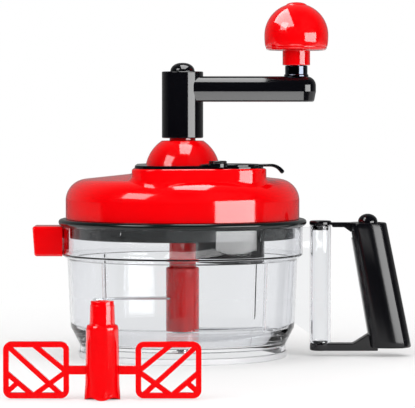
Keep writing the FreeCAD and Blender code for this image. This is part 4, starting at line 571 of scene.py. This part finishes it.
def makePlate(c):
    body = prism("platformPlate", belt(shrunk(lid["platform"], c["inset"]), 96), c["low"], c["high"])
    x, y, r = c["cover"]
    clear = r + c["play"]
    shelfTop = c["high"] - c["shelf"]
    (left, back), reach = c["shelfCorner"], c["shelfReach"]
    side = [(left, back), (left, -reach), (reach, -reach), (reach, y + clear), (x, y + clear)]
    cutters = [
        prism("shelfRound", circle(x, y, clear, 128), shelfTop, c["high"] + 3),
        prism("shelfSide", side, shelfTop, c["high"] + 3),
        prism("domeRound", circle(0, 0, c["dome"], 128), c["low"] - 1, c["high"] + 1),
        prism("portRound", circle(x, y, c["port"], 96), c["low"] - 1, c["high"] + 1),
    ]
    return softEdges(combine(body, cutters, "DIFFERENCE"), c["edge"])


fitPiece(makePlate(plate), "lid", "black_plastic", "top_plate")

feedCover = {
    "centre": (31, -37.5), "radius": 19.6, "low": 127.0, "high": 128.7, "bend": 57.5, "bendRadius": 9,
    "bendEnd": 40, "lip": 2.2, "lipThick": 2.8, "width": 11, "boss": (23.2, -57.5, 6.1), "bossTop": 129.8,
    "bore": 2.05, "rim": 3, "sunk": 0.35,
}


def makeFeedCover(c):
    x, y = c["centre"]
    low, high = c["low"], c["high"]
    inside, sunk = c["radius"] - c["rim"], high - c["sunk"]
    disc = turned("feedCoverDisc", [(0, low), (c["radius"], low, 0.3), (c["radius"], high, 0.7),
                                    (inside, high, 0.4), (inside - 0.6, sunk, 0.2), (0, sunk)],
                  (x, y))
    # the tab runs level, then curls down beyond the platform and thickens to its lip
    middle = (low + high) / 2
    upper, lower = [(x, high - 0.3)], [(x, low)]
    for k in range(13):
        turn = math.radians(90 + (c["bendEnd"] - 90) * min(k, 11) / 11)
        across, along = (math.cos(turn), math.sin(turn)), (math.sin(turn), -math.cos(turn))
        on = c["lip"] if k == 12 else 0
        px = c["bend"] + c["bendRadius"] * across[0] + on * along[0]
        pz = middle - c["bendRadius"] * (1 - across[1]) + on * along[1]
        half = ((high - low) + (c["lipThick"] - (high - low)) * k / 12) / 2
        corner = (1.1,) if k == 12 else ()
        upper.append((px + half * across[0], pz + half * across[1], *corner))
        lower.append((px - half * across[0], pz - half * across[1], *corner))
    side = lower + upper[::-1]
    tab = prism("tab", roundCorners(side, 10), y - c["width"] / 2, y + c["width"] / 2, "y")
    tab = softEdges(tab, 0.6)
    bx, by, br = c["boss"]
    boss = turned("boss", [(c["bore"], low), (br, low), (br, c["bossTop"], 0.6), (c["bore"], c["bossTop"])],
                  (bx, by), 96)
    return join("feedCover", [disc, tab, boss])


fitPiece(makeFeedCover(feedCover), "feed_cover", "black_plastic", "feed_cover")

coverPivot = {"at": (23.2, -57.5), "pin": 2, "low": 119.3, "head": 5.9, "headLow": 129.9, "top": 131.1,
              "slot": 1.6, "slotDepth": 0.5}


def makeCoverPivot(c):
    return turned("coverPivot", [
        (0, c["low"]), (c["pin"], c["low"], 0.4), (c["pin"], c["headLow"]), (c["head"], c["headLow"], 0.3),
        (c["head"], c["top"], 0.9), (c["slot"] + 0.6, c["top"], 0.3), (c["slot"], c["top"] - c["slotDepth"]),
        (0, c["top"] - c["slotDepth"]),
    ], c["at"], 96)


fitPiece(makeCoverPivot(coverPivot), "lid", "black_plastic", "cover_pivot")
print("platform made")

gearDome = {"radius": 24.9, "centre": 122.7, "flat": 13.8, "wall": 2.4, "low": 108, "ceiling": 140.6,
            "neck": 8.65, "neckTop": 156, "bush": 7.2}


def makeGearDome(d):
    inner = d["radius"] - d["wall"]
    first = math.degrees(math.acos(d["flat"] / d["radius"]))
    flatTop = d["centre"] + d["radius"] * math.sin(math.radians(first))
    insideLast = math.degrees(math.asin((d["ceiling"] - d["centre"]) / inner))
    outside = arcPoints((0, d["centre"]), d["radius"], 0, first, 28)
    inside = arcPoints((0, d["centre"]), inner, insideLast, 0, 20)
    neck = [(d["flat"], flatTop, 0.5), (d["neck"], flatTop, 0.5), (d["neck"], d["neckTop"]),
            (d["bush"], d["neckTop"]), (d["bush"], d["ceiling"])]
    ends = [(d["radius"], d["low"])], [(inner, d["low"])]
    return turned("gearDomeRed", ends[0] + outside[:-1] + neck + inside + ends[1], segments=192)


fitPiece(makeGearDome(gearDome), "lid", "red_plastic", "gear_dome")
print("gear dome made")

crank = {
    "tube": 13.75, "tubeLow": 145.1, "tubeTop": 189.3, "recess": 10.2, "recessTop": 158.2,
    "armLow": 169.2, "armTop": 186.1, "half": 11.6, "end": 88.6, "corner": 9.6, "topRound": 6.2,
    "lowRound": 1.0, "capBore": 7.2, "webTop": 172, "crease": 176, "facet": 1.3,
}


def makeCrankArm(c):
    # cross-section of the arm: flat below, crowned above, the same all along and round its end
    outline = roundCorners([(0, -c["half"]), (c["end"], -c["half"], c["corner"]),
                            (c["end"], c["half"], c["corner"]), (0, c["half"])], 16)
    bm = bmesh.new()
    low = c["lowRound"]
    lean = c["facet"] / (c["crease"] - c["armLow"])
    layers = [(low * (1 - math.sin(t)), c["armLow"] + low * (1 - math.cos(t)))
              for t in quarter(4, 0, 5)]
    layers = [(inset + lean * (c["crease"] - height), height) for inset, height in layers]
    layers += [(lean * 0.06, c["crease"] - 0.06), (0, c["crease"]), (0, c["crease"] + 0.06)]
    layers += [(c["topRound"] * (1 - math.cos(t)), c["armTop"] - c["topRound"] * (1 - math.sin(t)))
               for t in quarter(14, 0, 15)]
    bend = c["end"] - c["corner"]
    loops = []
    for inset, height in layers:
        keep = (c["half"] - inset) / c["half"]
        loop = []
        for x, y in outline:
            along = bend + (x - bend) * (c["corner"] - inset) / c["corner"] if x >= bend - 1e-6 else x
            loop.append(vert(bm, along, y * keep, height))
        loops.append(loop)
    bridge(bm, loops)
    arm = linkMesh("arm", bm)
    tube = turned("tube", [
        (c["recess"], c["recessTop"]), (c["recess"], c["tubeLow"], 0.4), (c["tube"], c["tubeLow"], 0.6),
        (c["tube"], c["tubeTop"], 0.7), (c["capBore"], c["tubeTop"], 0.3), (c["capBore"], c["webTop"]),
        (0, c["webTop"]), (0, c["recessTop"]),
    ], closed=False)  # the recess lacks its ceiling this way
    hole = prism("hole", circle(0, 0, c["tube"] - 1, 96), c["armLow"] - 2, c["armTop"] + 2)
    arm = combine(arm, [hole], "DIFFERENCE")
    return join("crankArmBlack", [arm, tube])


fitPiece(makeCrankArm(crank), "crank", "black_plastic", "crank_arm")

crankCap = {"radius": 8.1, "seat": 189.3, "top": 195.1, "plug": 7.2, "plugLow": 183.3, "fullness": 0.86}


def makeCrankCap(c):
    rise = c["top"] - c["seat"]
    crown = [(c["radius"] * math.cos(t) ** c["fullness"], c["seat"] + rise * math.sin(t))
             for t in quarter(20, 1, 20)]
    return turned("crankCapBlack", [
        (0, c["plugLow"]), (c["plug"], c["plugLow"]), (c["plug"], c["seat"]), (c["radius"], c["seat"], 0.2),
    ] + crown + [(0, c["top"])], segments=128)


fitPiece(makeCrankCap(crankCap), "crank", "black_plastic", "crank_cap")
print("crank made")

knobPost = {"at": (75.6, 0), "root": 5, "rootLow": 173, "armTop": 186.1, "foot": 8.1, "footRise": 1.4,
            "radius": 7.45, "top": 193.2, "spindle": 4, "spindleTop": 225.6, "screw": 2, "screwDepth": 12}


def makeKnobPost(p):
    ledge = p["armTop"] + p["footRise"]
    screwEnd = p["spindleTop"] - p["screwDepth"]
    return turned("knobPostChrome", [
        (0, p["rootLow"]), (p["root"], p["rootLow"], 0.4), (p["root"], p["armTop"]), (p["foot"], p["armTop"]),
        (p["foot"], ledge, 0.7), (p["radius"], ledge), (p["radius"], p["top"], 0.5), (p["spindle"], p["top"]),
        (p["spindle"], p["spindleTop"]), (p["screw"], p["spindleTop"]), (p["screw"], screwEnd), (0, screwEnd),
    ], p["at"], 128)


fitPiece(makeKnobPost(knobPost), "crank", "dark_chrome", "knob_post")

knob = {"at": (75.6, 0), "bore": 4.05, "collar": 9.15, "collarLow": 193.4, "low": 203.4, "foot": 20.2,
        "footRound": 1.9, "radius": 21.25, "centre": 213.3, "cap": 7, "capSeat": 7.3, "capDepth": 5}


def makeKnob(k):
    # the ball swells from its flat foot to the cap
    capAngle = math.degrees(math.acos(k["capSeat"] / k["radius"]))
    ball = arcPoints((0, k["centre"]), k["radius"], 0, capAngle, 36)
    swell = k["radius"] - k["foot"]
    start = k["low"] + k["footRound"] + 0.3
    belly = [(k["foot"] + swell * math.sin(t), start + (k["centre"] - start) * (1 - math.cos(t)))
             for t in quarter(10, 1, 10)]
    seat, floor = ball[-1][1], ball[-1][1] - k["capDepth"]
    return turned("knobRed", [
        (k["bore"], k["collarLow"]), (k["collar"], k["collarLow"], 0.6), (k["collar"], k["low"], 0.6),
        (k["foot"], k["low"], k["footRound"]), (k["foot"], start),
    ] + belly + ball + [(k["cap"], seat - 0.5), (k["cap"], floor), (k["bore"], floor)],
        k["at"], 192, smoothAngle=40)


fitPiece(makeKnob(knob), "knob", "red_plastic", "knob")

knobCap = {"at": (75.6, 0), "radius": 6.9, "low": 231.4, "edge": 233.1, "rise": 2.2}


def makeKnobCap(c):
    crown = [(c["radius"] * math.cos(t), c["edge"] + c["rise"] * math.sin(t))
             for t in quarter(12, 1, 12)]
    return turned("knobCapRed", [(0, c["low"]), (c["radius"], c["low"]), (c["radius"], c["edge"])] + crown
                  + [(0, c["edge"] + c["rise"])], c["at"], 96)


fitPiece(makeKnobCap(knobCap), "knob", "red_plastic", "knob_cap")
print("knob made")

handle = {
    "low": 5.8, "high": 89.0, "lowInner": 125.0, "lowOuter": 152.6, "highInner": 110.7, "highOuter": 135.6,
    "lowDepth": 27.0, "highDepth": 24.0, "corner": 8, "crown": 0.8, "lean": 3.6, "leanFrom": 0.25,
    "leanPower": 1.6, "band": 5.2, "step": 0.35, "seam": 0.12, "lowRound": 1.2, "highRound": 0.9,
    "slotHalf": 7.2, "slotEnd": 131.6, "slotFloor": 78.5,
    "footHalf": 5.6, "footEnd": 130.05, "footTop": 15.05, "footLow": 1.4,
}


def gripOutline(h, height, shrink=0.0):
    # front half of the grip's cross-section at a height, from the inner seam round to the outer seam
    share = (height - h["low"]) / (h["high"] - h["low"])
    left = h["lowInner"] + (h["highInner"] - h["lowInner"]) * share + shrink
    right = h["lowOuter"] + (h["highOuter"] - h["lowOuter"]) * share - shrink
    depth = (h["lowDepth"] + (h["highDepth"] - h["lowDepth"]) * share) / 2 - shrink
    crease = right - left - h["band"]
    corner, flat = h["corner"], depth - h["crown"]
    points = [(left, 0.0)]
    points += [(left + corner - corner * math.cos(t), corner - flat - corner * math.sin(t))
               for t in quarter(8, 0, 8)]
    # the front face is crowned, and leans away towards the crease
    for k in range(1, 17):
        u = k / 16
        crown = h["crown"] * math.sin(math.pi * min(u * 1.25, 1) / 2)
        lean = h["lean"] * max(u - h["leanFrom"], 0) ** h["leanPower"]
        points.append((left + corner + (crease - corner) * u, lean - crown - flat))
    # the outer band stands back from the crease and rounds to the outer seam
    edge = points[-1][1] + h["step"]
    points.append((left + crease + 0.05, edge))
    start = math.radians(30)
    bandLow, bandReach = right - h["band"] + 0.1, h["band"] - 0.1
    for k in range(1, 10):
        t = start + (math.pi / 2 - start) * k / 10
        across = (math.sin(t) - math.sin(start)) / (1 - math.sin(start))
        points.append((bandLow + bandReach * across, edge * math.cos(t) / math.cos(start)))
    return points + [(right, 0.0)]


def makeGripShell(name, h, side):
    bm = bmesh.new()
    start, end = h["low"] + h["lowRound"], h["high"] - h["highRound"]
    # height and how far the outline is drawn in there, which rounds both ends
    levels = [(h["low"], 1.0), (h["low"] + 0.3, 0.45)]
    levels += [(start + (end - start) * k / 24, 0.0) for k in range(25)]
    levels += [(h["high"] - 0.25, 0.35), (h["high"], 0.9)]
    loops = []
    for height, shrink in levels:
        loops.append([vert(bm, x, side * min(y, -h["seam"] / 2), height)
                      for x, y in gripOutline(h, height, shrink)])
    bridge(bm, loops)
    shell = linkMesh(name, bm)
    slot = slab("slot", box(h["highInner"] - 6, h["slotEnd"], h["slotFloor"], h["high"] + 4), h["slotHalf"])
    foot = slab("foot", box(h["lowInner"] - 8, h["footEnd"], h["footLow"], h["footTop"]), h["footHalf"])
    return combine(shell, [slot, foot], "DIFFERENCE")


for name, node, side in (("gripFrontShell", "handle_front_shell", 1),
                         ("gripRearShell", "handle_rear_shell", -1)):
    fitPiece(makeGripShell(name, handle, side), "root", "black_plastic", node, gripBlack)

footStrap = {"post": 91.8, "radius": 7, "low": 3.6, "top": 8.5, "half": 5.5, "end": 130, "rise": 6.5,
             "inner": 123.9, "slopeEnd": 113.5, "spigot": 4.9, "spigotTop": 10.2}


def makeFootStrap(f):
    side = [(f["post"], f["low"]), (f["end"], f["low"], 0.6), (f["end"], f["top"] + f["rise"]),
            (f["inner"], f["top"] + f["rise"], 1.5), (f["slopeEnd"], f["top"], 3), (f["post"], f["top"])]
    strap = softEdges(slab("strap", side, f["half"]), 0.7)
    puck = turned("puck", [(0, f["low"]), (f["radius"], f["low"], 1.2), (f["radius"], f["top"], 0.8),
                           (f["spigot"], f["top"], 0.3), (f["spigot"], f["spigotTop"], 0.8),
                           (0, f["spigotTop"])], (f["post"], 0), 96)
    return join("footStrap", [strap, puck])


fitPiece(makeFootStrap(footStrap), "root", "black_plastic", "handle_foot")

lever = {
    "post": 91.8, "cap": 7.3, "capLow": 87.3, "capTop": 90.2, "plug": 5.2, "plugLow": 83.9,
    "low": 85.9, "high": 89.0, "half": 4.5, "padHalf": 6.6, "padStart": 112, "end": 130.4, "clear": 99.4,
    "seat": 87.35, "pin": (114.6, 84.6), "eye": 2.9, "bore": 1.55, "dome": (123.3, 6.5, 5.8), "gusset": 4.6,
    "gussetDrop": 3.3,
}


def makeLever(v):
    cap = turned("cap", [(0, v["plugLow"]), (v["plug"], v["plugLow"], 0.5), (v["plug"], v["capLow"]),
                         (v["cap"], v["capLow"], 0.5), (v["cap"], v["capTop"], 1.2), (0, v["capTop"])],
                 (v["post"], 0), 96)
    side = [(v["clear"], v["low"], 0.8), (v["padStart"] - v["gusset"], v["low"], 1.2),
            (v["padStart"], v["low"] - v["gussetDrop"]), (v["padStart"], v["high"]),
            (v["post"], v["high"]), (v["post"], v["seat"]), (v["clear"], v["seat"], 0.3)]
    strap = softEdges(slab("strap", side, v["half"]), 0.6)
    pad = box(v["padStart"], v["end"], -v["padHalf"], v["padHalf"], 1.3)
    pad = softEdges(prism("pad", pad, v["low"], v["high"]), 0.5)
    x, z = v["pin"]
    eye = slab("eye", circle(x, z, v["eye"], 48), v["padHalf"])
    bore = slab("bore", circle(x, z, v["bore"], 32), 20)
    eye = combine(eye, [bore], "DIFFERENCE")
    dx, dr, dh = v["dome"]
    rim = v["high"] + 0.4
    crown = [(dr * math.cos(t), rim + (dh - 0.4) * math.sin(t)) for t in quarter(18, 1, 18)]
    dome = turned("dome", [(0, v["high"] - 0.2), (dr, v["high"] - 0.2), (dr, rim)] + crown
                  + [(0, v["high"] + dh)], (dx, 0), 96)
    return join("releaseLever", [cap, strap, pad, eye, dome])


fitPiece(makeLever(lever), "release_lever", "black_plastic", "release_lever")
print("handle made")

hub = {"top": 76.5, "narrow": 8.9, "step": 59.5, "wide": 11.1, "low": 13.4, "bore": 3.05, "boreTop": 32,
       "hex": 4.3, "hexDepth": 19.5}


def makeHub(h):
    body = turned("bladeHubRed", [
        (0, h["boreTop"]), (h["bore"], h["boreTop"]), (h["bore"], h["low"], 0.3), (h["wide"], h["low"], 0.8),
        (h["wide"], h["step"], 1.4), (h["narrow"], h["step"], 0.6), (h["narrow"], h["top"], 0.5),
        (0, h["top"]),
    ], segments=128)
    socket = prism("socket", circle(0, 0, h["hex"], 6), h["top"] - h["hexDepth"], h["top"] + 2)
    return combine(body, [socket], "DIFFERENCE")


fitPiece(makeHub(hub), "blade_drive", "red_plastic", "blade_hub")

blade = {"root": 5.6, "hub": 11.1, "reach": 66, "width": 15, "thickness": 1.3, "bevel": 3.2, "edge": 0.25,
         "levels": (("lowerBlade", "lower_blade", 17, 0), ("upperBlade", "upper_blade", 38, 180))}


def bowed(start, end, radius, steps):
    # points of a shallow arc between two places; the sign of radius says to which side it bows
    a, b = Vector(start), Vector(end)
    chord = b - a
    side = Vector((-chord.y, chord.x)).normalized()
    centre = (a + b) / 2 + side * math.copysign(math.sqrt(radius ** 2 - (chord.length / 2) ** 2), radius)
    first = math.atan2(a.y - centre.y, a.x - centre.x)
    sweep = math.atan2(b.y - centre.y, b.x - centre.x) - first
    sweep = (sweep + math.pi) % (2 * math.pi) - math.pi
    return [(centre.x + abs(radius) * math.cos(first + sweep * k / steps),
             centre.y + abs(radius) * math.sin(first + sweep * k / steps)) for k in range(steps + 1)]


def makeBlade(name, height, turn, c):
    half = c["width"] / 2
    start = (c["hub"] + c["root"], -half)
    tip = (c["reach"] * 0.9, half * 1.2)
    crown = (c["reach"] * 0.86, half * 1.9)
    back = (c["hub"] + c["root"], half)
    cutting = bowed(start, tip, c["reach"] * 1.05, 40)
    spine = bowed(crown, back, -c["reach"] * 1.3, 40)
    bm = bmesh.new()
    # one strip between edge and spine, its top face dropping to the ground edge over the bevel
    root = [(c["root"], -half), (c["root"], half)]
    rails = []
    for k in range(41):
        e, s = Vector(cutting[k]), Vector(spine[40 - k])
        across = s - e
        ground = e + across * min(c["bevel"] / max(across.length, 0.1), 0.8)
        rails.append((e, ground, s))
    loops = []
    top, low = height + c["thickness"], height
    inner = Vector(root[0]), Vector(root[0]) + Vector((0, 0.01)), Vector(root[1])
    for e, g, s in [inner] + rails:
        sharp = 0 if e is inner[0] else c["thickness"] - c["edge"]
        loops.append([vert(bm, *p, z) for p, z in
                      ((e, low), (e, top - sharp), (g, top), (s, top), (s, low))])
    bridge(bm, loops)
    bmesh.ops.rotate(bm, verts=bm.verts, cent=(0, 0, 0), matrix=Matrix.Rotation(math.radians(turn), 3, "Z"))
    return linkMesh(name, bm, 12)


for name, node, height, turn in blade["levels"]:
    fitPiece(makeBlade(name, height, turn, blade), "blade_drive", "blade_steel", node)

bladePin = {"radius": 3, "head": 5.5, "headLow": 6.9, "low": 8.4, "top": 31}


def makeBladePin(p):
    return turned("bladePin", [
        (0, p["headLow"]), (p["head"], p["headLow"], 0.4), (p["head"], p["low"]), (p["radius"], p["low"]),
        (p["radius"], p["top"], 0.6), (0, p["top"]),
    ], segments=64)


fitPiece(makeBladePin(bladePin), "root", "steel", "blade_pin")
print("blades made")

paddle = {
    "at": (-42.9, -256), "height": 55.8, "narrow": 7, "narrowHeight": 14, "shoulder": 9.1, "hub": 9.65,
    "foot": 10.15, "flare": 19.5, "bore": 3.05, "boreTop": 18.6, "hex": 4.3, "hexDepth": 19.5,
    "petals": 4, "petalTop": 16, "petalDepth": 0.9, "archDepth": 1.5,
    "inner": 18.8, "outer": 56.1, "low": 0.6, "high": 32.8, "bar": 3.2, "lattice": 2.9, "depth": 3.2,
    "corner": 4.7, "armLow": 14.2, "armHigh": 19.1, "edge": 0.45,
    "bars": (((1.0, 1.0), (0.07, 0.0)), ((0.55, 1.0), (0.0, 0.47)), ((1.0, 0.45), (0.55, 0.0)),
             ((0.0, 0.47), (0.55, 0.0)), ((0.82, 0.24), (1.0, 0.05))),
}


def makePaddleHub(p):
    shoulder = p["height"] - p["narrowHeight"]
    narrow, wide, hubRadius = p["narrow"], p["shoulder"], p["hub"]
    hubPiece = turned("paddleHub", [
        (0, p["height"]), (narrow - 0.45, p["height"], 0.5), (narrow - 0.4, p["height"] - 2.2, 0.2),
        (narrow - 0.1, p["height"] - 2.4, 0.2), (narrow + 0.25, shoulder + 0.8, 0.3),
        (wide - 0.5, shoulder + 0.3, 0.3), (wide - 0.1, shoulder - 0.8, 0.4), (wide + 0.1, shoulder - 2, 0.3),
        (hubRadius - 0.1, p["flare"], 8), (hubRadius, p["petalTop"] + 1), (hubRadius, p["petalTop"] - 1),
        (hubRadius + 0.1, p["petalTop"] / 2), (p["foot"], 2.5), (p["foot"], 0, 0.2),
        (p["bore"], 0, 0.2), (p["bore"], p["boreTop"]), (0, p["boreTop"]),
    ])
    # hollow flutes round the foot, arched at the top and below, leave four points standing
    for vertex in hubPiece.data.vertices:
        x, y, z = [c / mm for c in vertex.co]
        radius = math.hypot(x, y)
        if radius < p["hub"] - 0.6 or z > p["petalTop"] + 0.5:
            continue
        swing = abs(math.cos(p["petals"] / 2 * math.atan2(y, x)))
        flute = (1 - swing ** 3) * min(max((p["petalTop"] - z) / p["petalTop"], 0) * 2.2, 1)
        shrink = (radius - p["petalDepth"] * flute) / radius
        rise = p["archDepth"] * (1 - swing ** 2) if z < 0.5 else 0
        vertex.co = (x * shrink * mm, y * shrink * mm, (z + rise) * mm)
    socket = prism("socket", circle(0, 0, p["hex"], 6), p["height"] - p["hexDepth"], p["height"] + 1)
    return combine(hubPiece, [socket], "DIFFERENCE")


def makeWing(p, side):
    halfDepth, bar = p["depth"] / 2, p["bar"]
    outer = roundCorners(box(p["inner"], p["outer"], p["low"], p["high"], p["corner"]), 8)
    inner = roundCorners(box(p["inner"] + bar, p["outer"] - bar, p["low"] + bar, p["high"] - bar,
                             p["corner"] - bar), 8)
    rim = combine(slab("rim", outer, halfDepth), [slab("window", inner, 10)], "DIFFERENCE")
    bars = []
    for ends in p["bars"]:
        # places are shares of the frame's width and height
        (x0, z0), (x1, z1) = [(p["inner"] + bar / 2 + (p["outer"] - p["inner"] - bar) * a,
                               p["low"] + bar / 2 + (p["high"] - p["low"] - bar) * b) for a, b in ends]
        lean = math.atan2(z1 - z0, x1 - x0)
        sx, sz = math.sin(lean) * p["lattice"] / 2, math.cos(lean) * p["lattice"] / 2
        corners = [(x0 + sx, z0 - sz), (x1 + sx, z1 - sz), (x1 - sx, z1 + sz), (x0 - sx, z0 + sz)]
        bars.append(slab("latticeBar", corners, halfDepth))
    bars.append(slab("arm", box(p["hub"] - 2.2, p["inner"] + 1.4, p["armLow"], p["armHigh"]), halfDepth))
    wing = combine(rim, bars, "UNION")
    if side < 0:
        wing.data.transform(Matrix.Scale(-1, 4, (1, 0, 0)))
        wing.data.flip_normals()
    return softEdges(wing, p["edge"], 3, 30, 40)


def makePaddle(p):
    whole = join("mixingPaddleRed", [makePaddleHub(p)] + [makeWing(p, side) for side in (1, -1)])
    whole.data.transform(Matrix.Translation((p["at"][0] * mm, p["at"][1] * mm, 0)))
    return whole


fitPiece(makePaddle(paddle), "mixing_paddle", "red_plastic", "mixing_paddle")
print("mixing paddle made")

# inner pieces keep their solids and get their finish
slotOfNode = {entry["node"]: entry["material_slot"] for entry in frame["record"]["subparts"]}
for name, node in nodes.items():
    node.data.materials.clear()
    node.data.materials.append(finishOfSlot[slotOfNode[name]])
    if not node.hide_render:
        node.data.polygons.foreach_set("use_smooth", [True] * len(node.data.polygons))
        node.data.set_sharp_from_angle(angle=math.radians(30))
print("inner pieces finished")

studio = {"floorHalf": 12, "floorWhite": 0.9, "roomGrey": 0.04, "table": (-0.3, -0.12), "fade": (0.16, 0.5),
          "liftNear": 0.3, "wallGlow": 0.75, "throughGlow": 0.85, "worldDiffuse": 0.15, "glossFront": 0.01,
          "glossBack": 0.25, "back": (-0.2, 0.9)}


def mathNode(tree, operation, first, second):
    # a sum, product or comparison of two sockets or numbers
    return addNode(tree, "Math", {0: first, 1: second}, operation=operation).outputs[0]


def seenDirectly(tree, path):
    # 1 for what is looked at straight or through clear walls, 0 once a ray has been reflected
    direct = mathNode(tree, "MAXIMUM", path["Is Camera Ray"], path["Is Transmission Ray"])
    turns = mathNode(tree, "ADD", path["Glossy Depth"], path["Diffuse Depth"])
    return mathNode(tree, "MULTIPLY", direct, mathNode(tree, "LESS_THAN", turns, 0.5))


def wandered(tree, path):
    # bright for light that leaves a clear wall after being mirrored inside it
    mirrored = mathNode(tree, "GREATER_THAN", path["Glossy Depth"], 0.5)
    mirrored = mathNode(tree, "MULTIPLY", path["Is Transmission Ray"], mirrored)
    return mathNode(tree, "MULTIPLY", mirrored, studio["wallGlow"])


floorMesh = bmesh.new()
bmesh.ops.create_grid(floorMesh, x_segments=1, y_segments=1, size=studio["floorHalf"])
floorPiece = linkMesh("floorPlane", floorMesh)
floorMaterial = bpy.data.materials.new("paleFloor")
floorMaterial.use_nodes = True
tree = floorMaterial.node_tree
tree.nodes.remove(tree.nodes["Principled BSDF"])
path = addNode(tree, "LightPath").outputs
place = addNode(tree, "TexCoord").outputs["Object"]
apart = addNode(tree, "SeparateXYZ", {0: place}).outputs["Y"]
# reflections show a white table that ends short of the viewer
table = ramp(tree, apart, studio["roomGrey"], studio["floorWhite"], studio["table"], "SMOOTHSTEP")
mirrored = blend(tree, path["Glossy Depth"], studio["floorWhite"], table)
matt = addNode(tree, "BsdfDiffuse", {"Color": mirrored}).outputs[0]
# the floor runs out into plain white
distance = addNode(tree, "VectorMath", {0: place}, operation="LENGTH").outputs["Value"]
fade = ramp(tree, distance, studio["liftNear"], 1, studio["fade"], "SMOOTHSTEP")
through = mathNode(tree, "MULTIPLY", path["Is Transmission Ray"], studio["throughGlow"])
straight = mathNode(tree, "MULTIPLY", seenDirectly(tree, path), mathNode(tree, "MAXIMUM", fade, through))
white = mathNode(tree, "MAXIMUM", straight, wandered(tree, path))
glow = addNode(tree, "Emission").outputs[0]
both = addNode(tree, "MixShader", {0: white, 1: matt, 2: glow}).outputs[0]
tree.links.new(both, tree.nodes["Material Output"].inputs["Surface"])
floorPiece.data.materials.append(floorMaterial)

world = bpy.data.worlds.new("studio")
scene.world = world
world.use_nodes = True
sky = world.node_tree
path = addNode(sky, "LightPath").outputs
where = addNode(sky, "TexCoord").outputs["Generated"]
depth = addNode(sky, "SeparateXYZ", {0: where}).outputs["Y"]
# dark in front and brighter behind; light that wanders inside clear walls meets a brighter back
near = mathNode(sky, "ADD", wandered(sky, path), studio["glossFront"])
far = ramp(sky, path["Is Transmission Ray"], studio["glossBack"], 1)
behind = ramp(sky, depth, near, far, studio["back"], "SMOOTHSTEP")
shiny = mathNode(sky, "MAXIMUM", path["Is Glossy Ray"], path["Is Transmission Ray"])
shiny = mathNode(sky, "MULTIPLY", shiny, mathNode(sky, "LESS_THAN", path["Diffuse Depth"], 0.5))
plain = blend(sky, shiny, studio["worldDiffuse"], behind)
feed(sky, sky.nodes["Background"].inputs["Strength"], blend(sky, seenDirectly(sky, path), plain, 1.0))
feed(sky, sky.nodes["Background"].inputs["Color"], (1, 1, 1, 1))

# lamps: place, what it is turned to, width, height, radiance, and whether matt or shiny surfaces show it
lamps = {
    "softRight": ((0.88, -0.72, 0.76), (0.02, 0, 0.11), 1.1, 1.1, 2.05, "matt"),
    "softLeft": ((-0.84, -0.72, 0.76), (0.02, 0, 0.11), 1.1, 1.1, 2.05, "matt"),
    "softFront": ((0.02, -1.32, 0.59), (0.02, 0, 0.11), 1.1, 0.8, 1.1, "matt"),
    "softTop": ((0.02, -0.21, 1.29), (0.02, 0, 0.11), 1.6, 1.2, 1.4, "matt"),
    "softBack": ((0.02, 1.15, 0.91), (0.02, 0, 0.11), 1.6, 1.0, 1.8, "matt"),
    "boxRight": ((1.03, -0.79, 0.19), (0.02, 0, 0.11), 1.0, 0.38, 8.5, "shine"),
    "boxLeft": ((-0.86, -0.74, 0.87), (0.02, 0, 0.11), 0.6, 0.62, 6.0, "shine"),
    "boxTop": ((0.02, -0.045, 0.27), (0.02, -0.045, 0), 0.075, 0.12, 7.5, "shine"),
    "lowGlow": ((0.05, -0.276, 0.06), (0.05, -0.276, 1), 0.22, 0.09, 4.5, "shine"),
}
for name, (at, towards, width, height, radiance, lights) in lamps.items():
    lamp = bpy.data.lights.new(name, "AREA")
    lamp.shape = "RECTANGLE"
    lamp.size, lamp.size_y = width, height
    lamp.energy = radiance * math.pi * width * height
    holder = bpy.data.objects.new(name, lamp)
    holder.location = at
    holder.rotation_euler = (Vector(at) - Vector(towards)).to_track_quat("Z", "Y").to_euler()
    holder.visible_diffuse = lights == "matt"
    holder.visible_glossy = holder.visible_transmission = lights == "shine"
    holder.visible_camera = False
    scene.collection.objects.link(holder)

viewer = {"at": (0.0166, -1.685, 0.163), "pitch": -2.1, "lens": 219.7, "sensor": 36}
camera = bpy.data.cameras.new("camera")
camera.lens = viewer["lens"]
camera.sensor_width = viewer["sensor"]
cameraHolder = bpy.data.objects.new("camera", camera)
cameraHolder.location = viewer["at"]
cameraHolder.rotation_euler = (math.radians(90 + viewer["pitch"]), 0, 0)
scene.collection.objects.link(cameraHolder)
scene.camera = cameraHolder
scene.view_settings.view_transform = "Standard"

print("scene ready")
